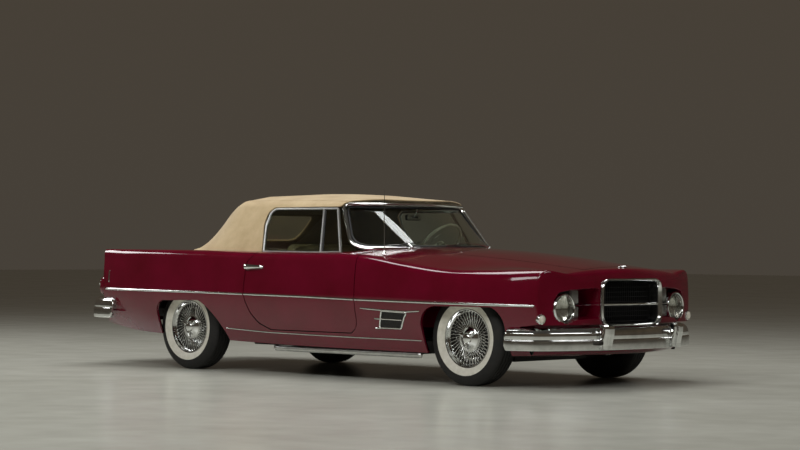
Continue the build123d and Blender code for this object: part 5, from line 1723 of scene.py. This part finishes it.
# ================================================================ dashboard, steering wheel and doors inside
form = Form()
profile = [
    (524, 746), (516, 790), (518, 838), (534, 868), (570, 884), (640, 888), (700, 884), (700, 874),
    (540, 862), (530, 800), (536, 748),
]
form.join(skin([[(x, y, z) for x, z in profile] for y in np.linspace(-738, 738, 49)]))
for z in (786, 806, 826):
    form.join(sweep(np.array([(513.5, y, z) for y in np.linspace(-700, 700, 15)]), circle(2.6, 8), slot=1))
for y, r in ((310, 62), (436, 46), (556, 46), (186, 40)):
    dial = Form()
    dial.join(lathe([(r, -4), (r, 6), (r - 5, 11), (r - 9, 9), (r - 9, 2), (0.5, 2), (0.5, -4)], 48, 1))
    dial.join(lathe([(r - 9.5, 2), (r - 9.5, 3.2), (0.5, 3.2), (0.5, 2)], 40, 2))
    for k in range(11):
        a = math.radians(-130 + 26 * k)
        tick = box(-0.8, 0.8, r - 21, r - 14, 3.0, 4.0, 0.3, 3)
        dial.join(tick.placed((0, 0, 0), (math.cos(a), -math.sin(a), 0)))
    dial.join(slab([(-1.6, -8), (1.6, -8), (0.4, r - 16), (-0.4, r - 16)], 1.2, 0.3, 3, back=4.4))
    form.join(dial.placed((514, y, 806), (0, -1, 0), (-1, 0, 0)))
for y in np.linspace(-120, 90, 6):
    knob = lathe([(9, 0), (10, 5), (9, 20), (6, 23), (0.5, 24), (0.5, 0)], 20, 3)
    form.join(knob.placed((516, y, 800), (0, 1, 0), (-1, 0, 0)))
form.join(box(506, 516, -520, -190, 776, 842, 4, 1))
dress("dashboard", form, [DASH_TOP, CHROME, BLACK, IVORY], 35)

# the steering wheel about its own z axis, then placed at the head of its column
HEAD = np.array([262.0, 400.0, 985.0])
FOOT = np.array([684.0, 400.0, 652.6])
AXIS = unit(HEAD - FOOT)
form = Form()
a = angles(96)
form.join(tube(level(np.stack([np.cos(a) * 199, np.sin(a) * 199], axis=1), 4), 12.0, 14, 0, closed=True))
form.join(lathe([(36, -16), (38, 0), (34, 12), (24, 19), (12, 22), (0.5, 23), (0.5, -16)], 40, 0))
form.join(lathe([(20, 19), (21, 23), (16, 28), (0.5, 30), (0.5, 19)], 32, 1))
for k in (1, -1):
    spoke = spline([(0, 30 * k, 2), (0, 110 * k, -4), (0, 192 * k, 3)], 12)
    form.join(sweep(spoke, circle(9, 12, 0.6), scale=np.linspace(1.25, 0.85, 12)))
b = np.linspace(math.radians(-58), math.radians(58), 40)
form.join(tube(level(np.stack([np.sin(b) * 140, -np.cos(b) * 140], axis=1), -6), 3.6, 10, 1))
form.join(lathe([(24, -60), (24, -16), (0.5, -16), (0.5, -60)], 28, 1))
form.join(lathe([(19, -500), (19, -60), (0.5, -60), (0.5, -500)], 28, 2))
wheel = form.placed(HEAD, (AXIS[2], 0, -AXIS[0]), AXIS)
dress("steering_wheel", wheel, [IVORY, CHROME, IRON], body="steering_wheel")

# door inner panels, each with an armrest, pull and window winder
CARD = [(-470, 900), (640, 900), (640, 400), (600, 372), (-150, 372), (-330, 430), (-440, 560)]
outline = rounded(CARD, [20, 30, 60, 40, 80, 90, 90], 5)
rings = [
    level(offset(outline, -inset), 851.5 + y)[:, [0, 2, 1]]
    for inset, y in ((0, 0), (0, -6), (3, -9), (8, -10))
]
card = skin(rings)
for z in (470, 760):
    card.join(sweep([(x, 840.5, z) for x in np.linspace(-410, 610, 21)], circle(4, 8), slot=1))
card.join(box(-300, 110, 786, 842, 640, 690, 18, 2))
card.join(tube(spline([(250, 840, 700), (250, 812, 700), (310, 806, 690), (370, 806, 672)], 12), 6, 10, 1))
knob = lathe([(22, -2), (22, 6), (12, 14), (0.5, 15), (0.5, -2)], 24, 1)
card.join(knob.placed((250, 842, 700), (1, 0, 0), (0, -1, 0)))
card.join(tube(spline([(480, 842, 730), (480, 822, 730), (440, 818, 726), (400, 818, 722)], 12), 5, 10, 1))
for hand, form in (("left", card), ("right", card.mirrored())):
    make(f"door_card_{hand}", form, [LEATHER_RED, CHROME, LEATHER], f"door_{hand}", 40)

# ================================================================ finishes of the part's own pieces
PAIRS = ("front_fender", "rear_quarter", "door", "knuckle", "door_window")
FINISHES = (
    (PAINT, "front_fender nose_panel bonnet cowl_and_bulkhead rear_quarter rear_deck boot_lid door"),
    (CHASSIS, "floor_and_sills chassis_frame"),
    (IRON, "engine_block front_suspension rear_axle exhaust fuel_tank knuckle"),
    (CHROME, "windscreen_frame grille headlamps parking_lamps front_bumper rear_bumper"),
    (GLASS, "windscreen_glass door_window"),
    (CANVAS, "soft_top"),
    (BLACK, "radiator"),
    (ALLOY, "cove_grilles"),
    (RED_GLASS, "tail_lamps"),
    (LEATHER, "front_seat rear_seat"),
    (DASH_TOP, "dashboard"),
    (IVORY, "steering_wheel"),
)
for material, nodes in FINISHES:
    for node in nodes.split():
        for name in [f"{node}_left", f"{node}_right"] if node in PAIRS else [node]:
            repaint(name, material)
for end in ("front", "rear"):
    for hand in ("left", "right"):
        repaint(f"tyre_{end}_{hand}", RUBBER)
        repaint(f"wheel_{end}_{hand}", CHROME)

# ================================================================ stage, light and camera
FLOOR = Nodes("studio_floor")
FLOOR.colour(FLOOR.ramp(FLOOR.noise(0.7, 4, 0.6), [(0.3, srgb("c3c4b8")), (0.7, srgb("cfd0c5"))]))
FLOOR.rough(FLOOR.range(FLOOR.noise(3, 5), 0.16, 0.3))
FLOOR_HALF = 60  # metres
corners = [(x * FLOOR_HALF, y * FLOOR_HALF, 0) for x, y in ((-1, -1), (1, -1), (1, 1), (-1, 1))]
floor = bpy.data.meshes.new("floor")
floor.from_pydata(corners, [], [(0, 1, 2, 3)])
floor.materials.append(FLOOR.material)
floor_piece = bpy.data.objects.new("floor", floor)
bpy.context.scene.collection.objects.link(floor_piece)

world = bpy.data.worlds.new("studio")
bpy.context.scene.world = world
world.use_nodes = True
sky = world.node_tree
where = sky.nodes.new("ShaderNodeTexCoord")
parts = sky.nodes.new("ShaderNodeSeparateXYZ")
ramp = sky.nodes.new("ShaderNodeValToRGB")
# from straight down, over the horizon near the middle, to straight up
set_stops(ramp.color_ramp, [
    (0.0, srgb("4a443c")), (0.49, srgb("4c4235")), (0.54, srgb("453d31")), (0.7, srgb("34302a")),
    (1.0, srgb("54524e")),
])
sky.links.new(where.outputs["Generated"], parts.inputs["Vector"])
sky.links.new(parts.outputs["Z"], ramp.inputs["Fac"])
sky.links.new(ramp.outputs["Color"], sky.nodes["Background"].inputs["Color"])
sky.nodes["Background"].inputs["Strength"].default_value = 0.9


def lamp(name, place, target, size, power):
    """A rectangular soft lamp, in metres and watts, turned to its target."""
    data = bpy.data.lights.new(name, "AREA")
    data.shape = "RECTANGLE"
    data.size, data.size_y = size
    data.energy = power
    made = bpy.data.objects.new(name, data)
    bpy.context.scene.collection.objects.link(made)
    made.location = place
    made.rotation_euler = (Vector(target) - Vector(place)).to_track_quat("-Z", "Y").to_euler()


lamp("key_light", (3.0, -8.5, 6.5), (0, 0, 0.4), (9, 2.4), 480)
lamp("fill_light", (11, 1.0, 6.5), (0.5, 0, 0.4), (4, 3), 240)
lamp("top_light", (-1.5, 0.5, 8.0), (-0.5, 0, 0), (7, 3), 420)
lamp("rear_light", (-10, -3, 5.5), (-1.5, 0, 0.5), (4, 2.5), 260)

# the camera, as fitted to the photograph
PHOTO_WIDE, FOCAL = 800.0, 2245.87  # pixels
SENSOR = 36.0  # mm
CAMERA_PLACE = Vector((12.06098, -12.61267, 0.9638))
yaw, pitch, roll = math.radians(43.223), math.radians(-0.584), math.radians(0.369)
forward = Vector((-math.sin(yaw) * math.cos(pitch), math.cos(yaw) * math.cos(pitch), -math.sin(pitch)))
right = forward.cross(Vector((0, 0, 1))).normalized()
over = right.cross(forward)
right, over = right * math.cos(roll) + over * math.sin(roll), over * math.cos(roll) - right * math.sin(roll)
camera_data = bpy.data.cameras.new("camera")
camera_data.sensor_width = SENSOR
camera_data.lens = SENSOR * FOCAL / PHOTO_WIDE
camera_data.clip_end = 200
camera = bpy.data.objects.new("camera", camera_data)
bpy.context.scene.collection.objects.link(camera)
rows = [(right[k], over[k], -forward[k], CAMERA_PLACE[k]) for k in range(3)]
camera.matrix_world = Matrix([*rows, (0, 0, 0, 1)])
bpy.context.scene.camera = camera
bpy.context.scene.view_settings.view_transform = "Standard"
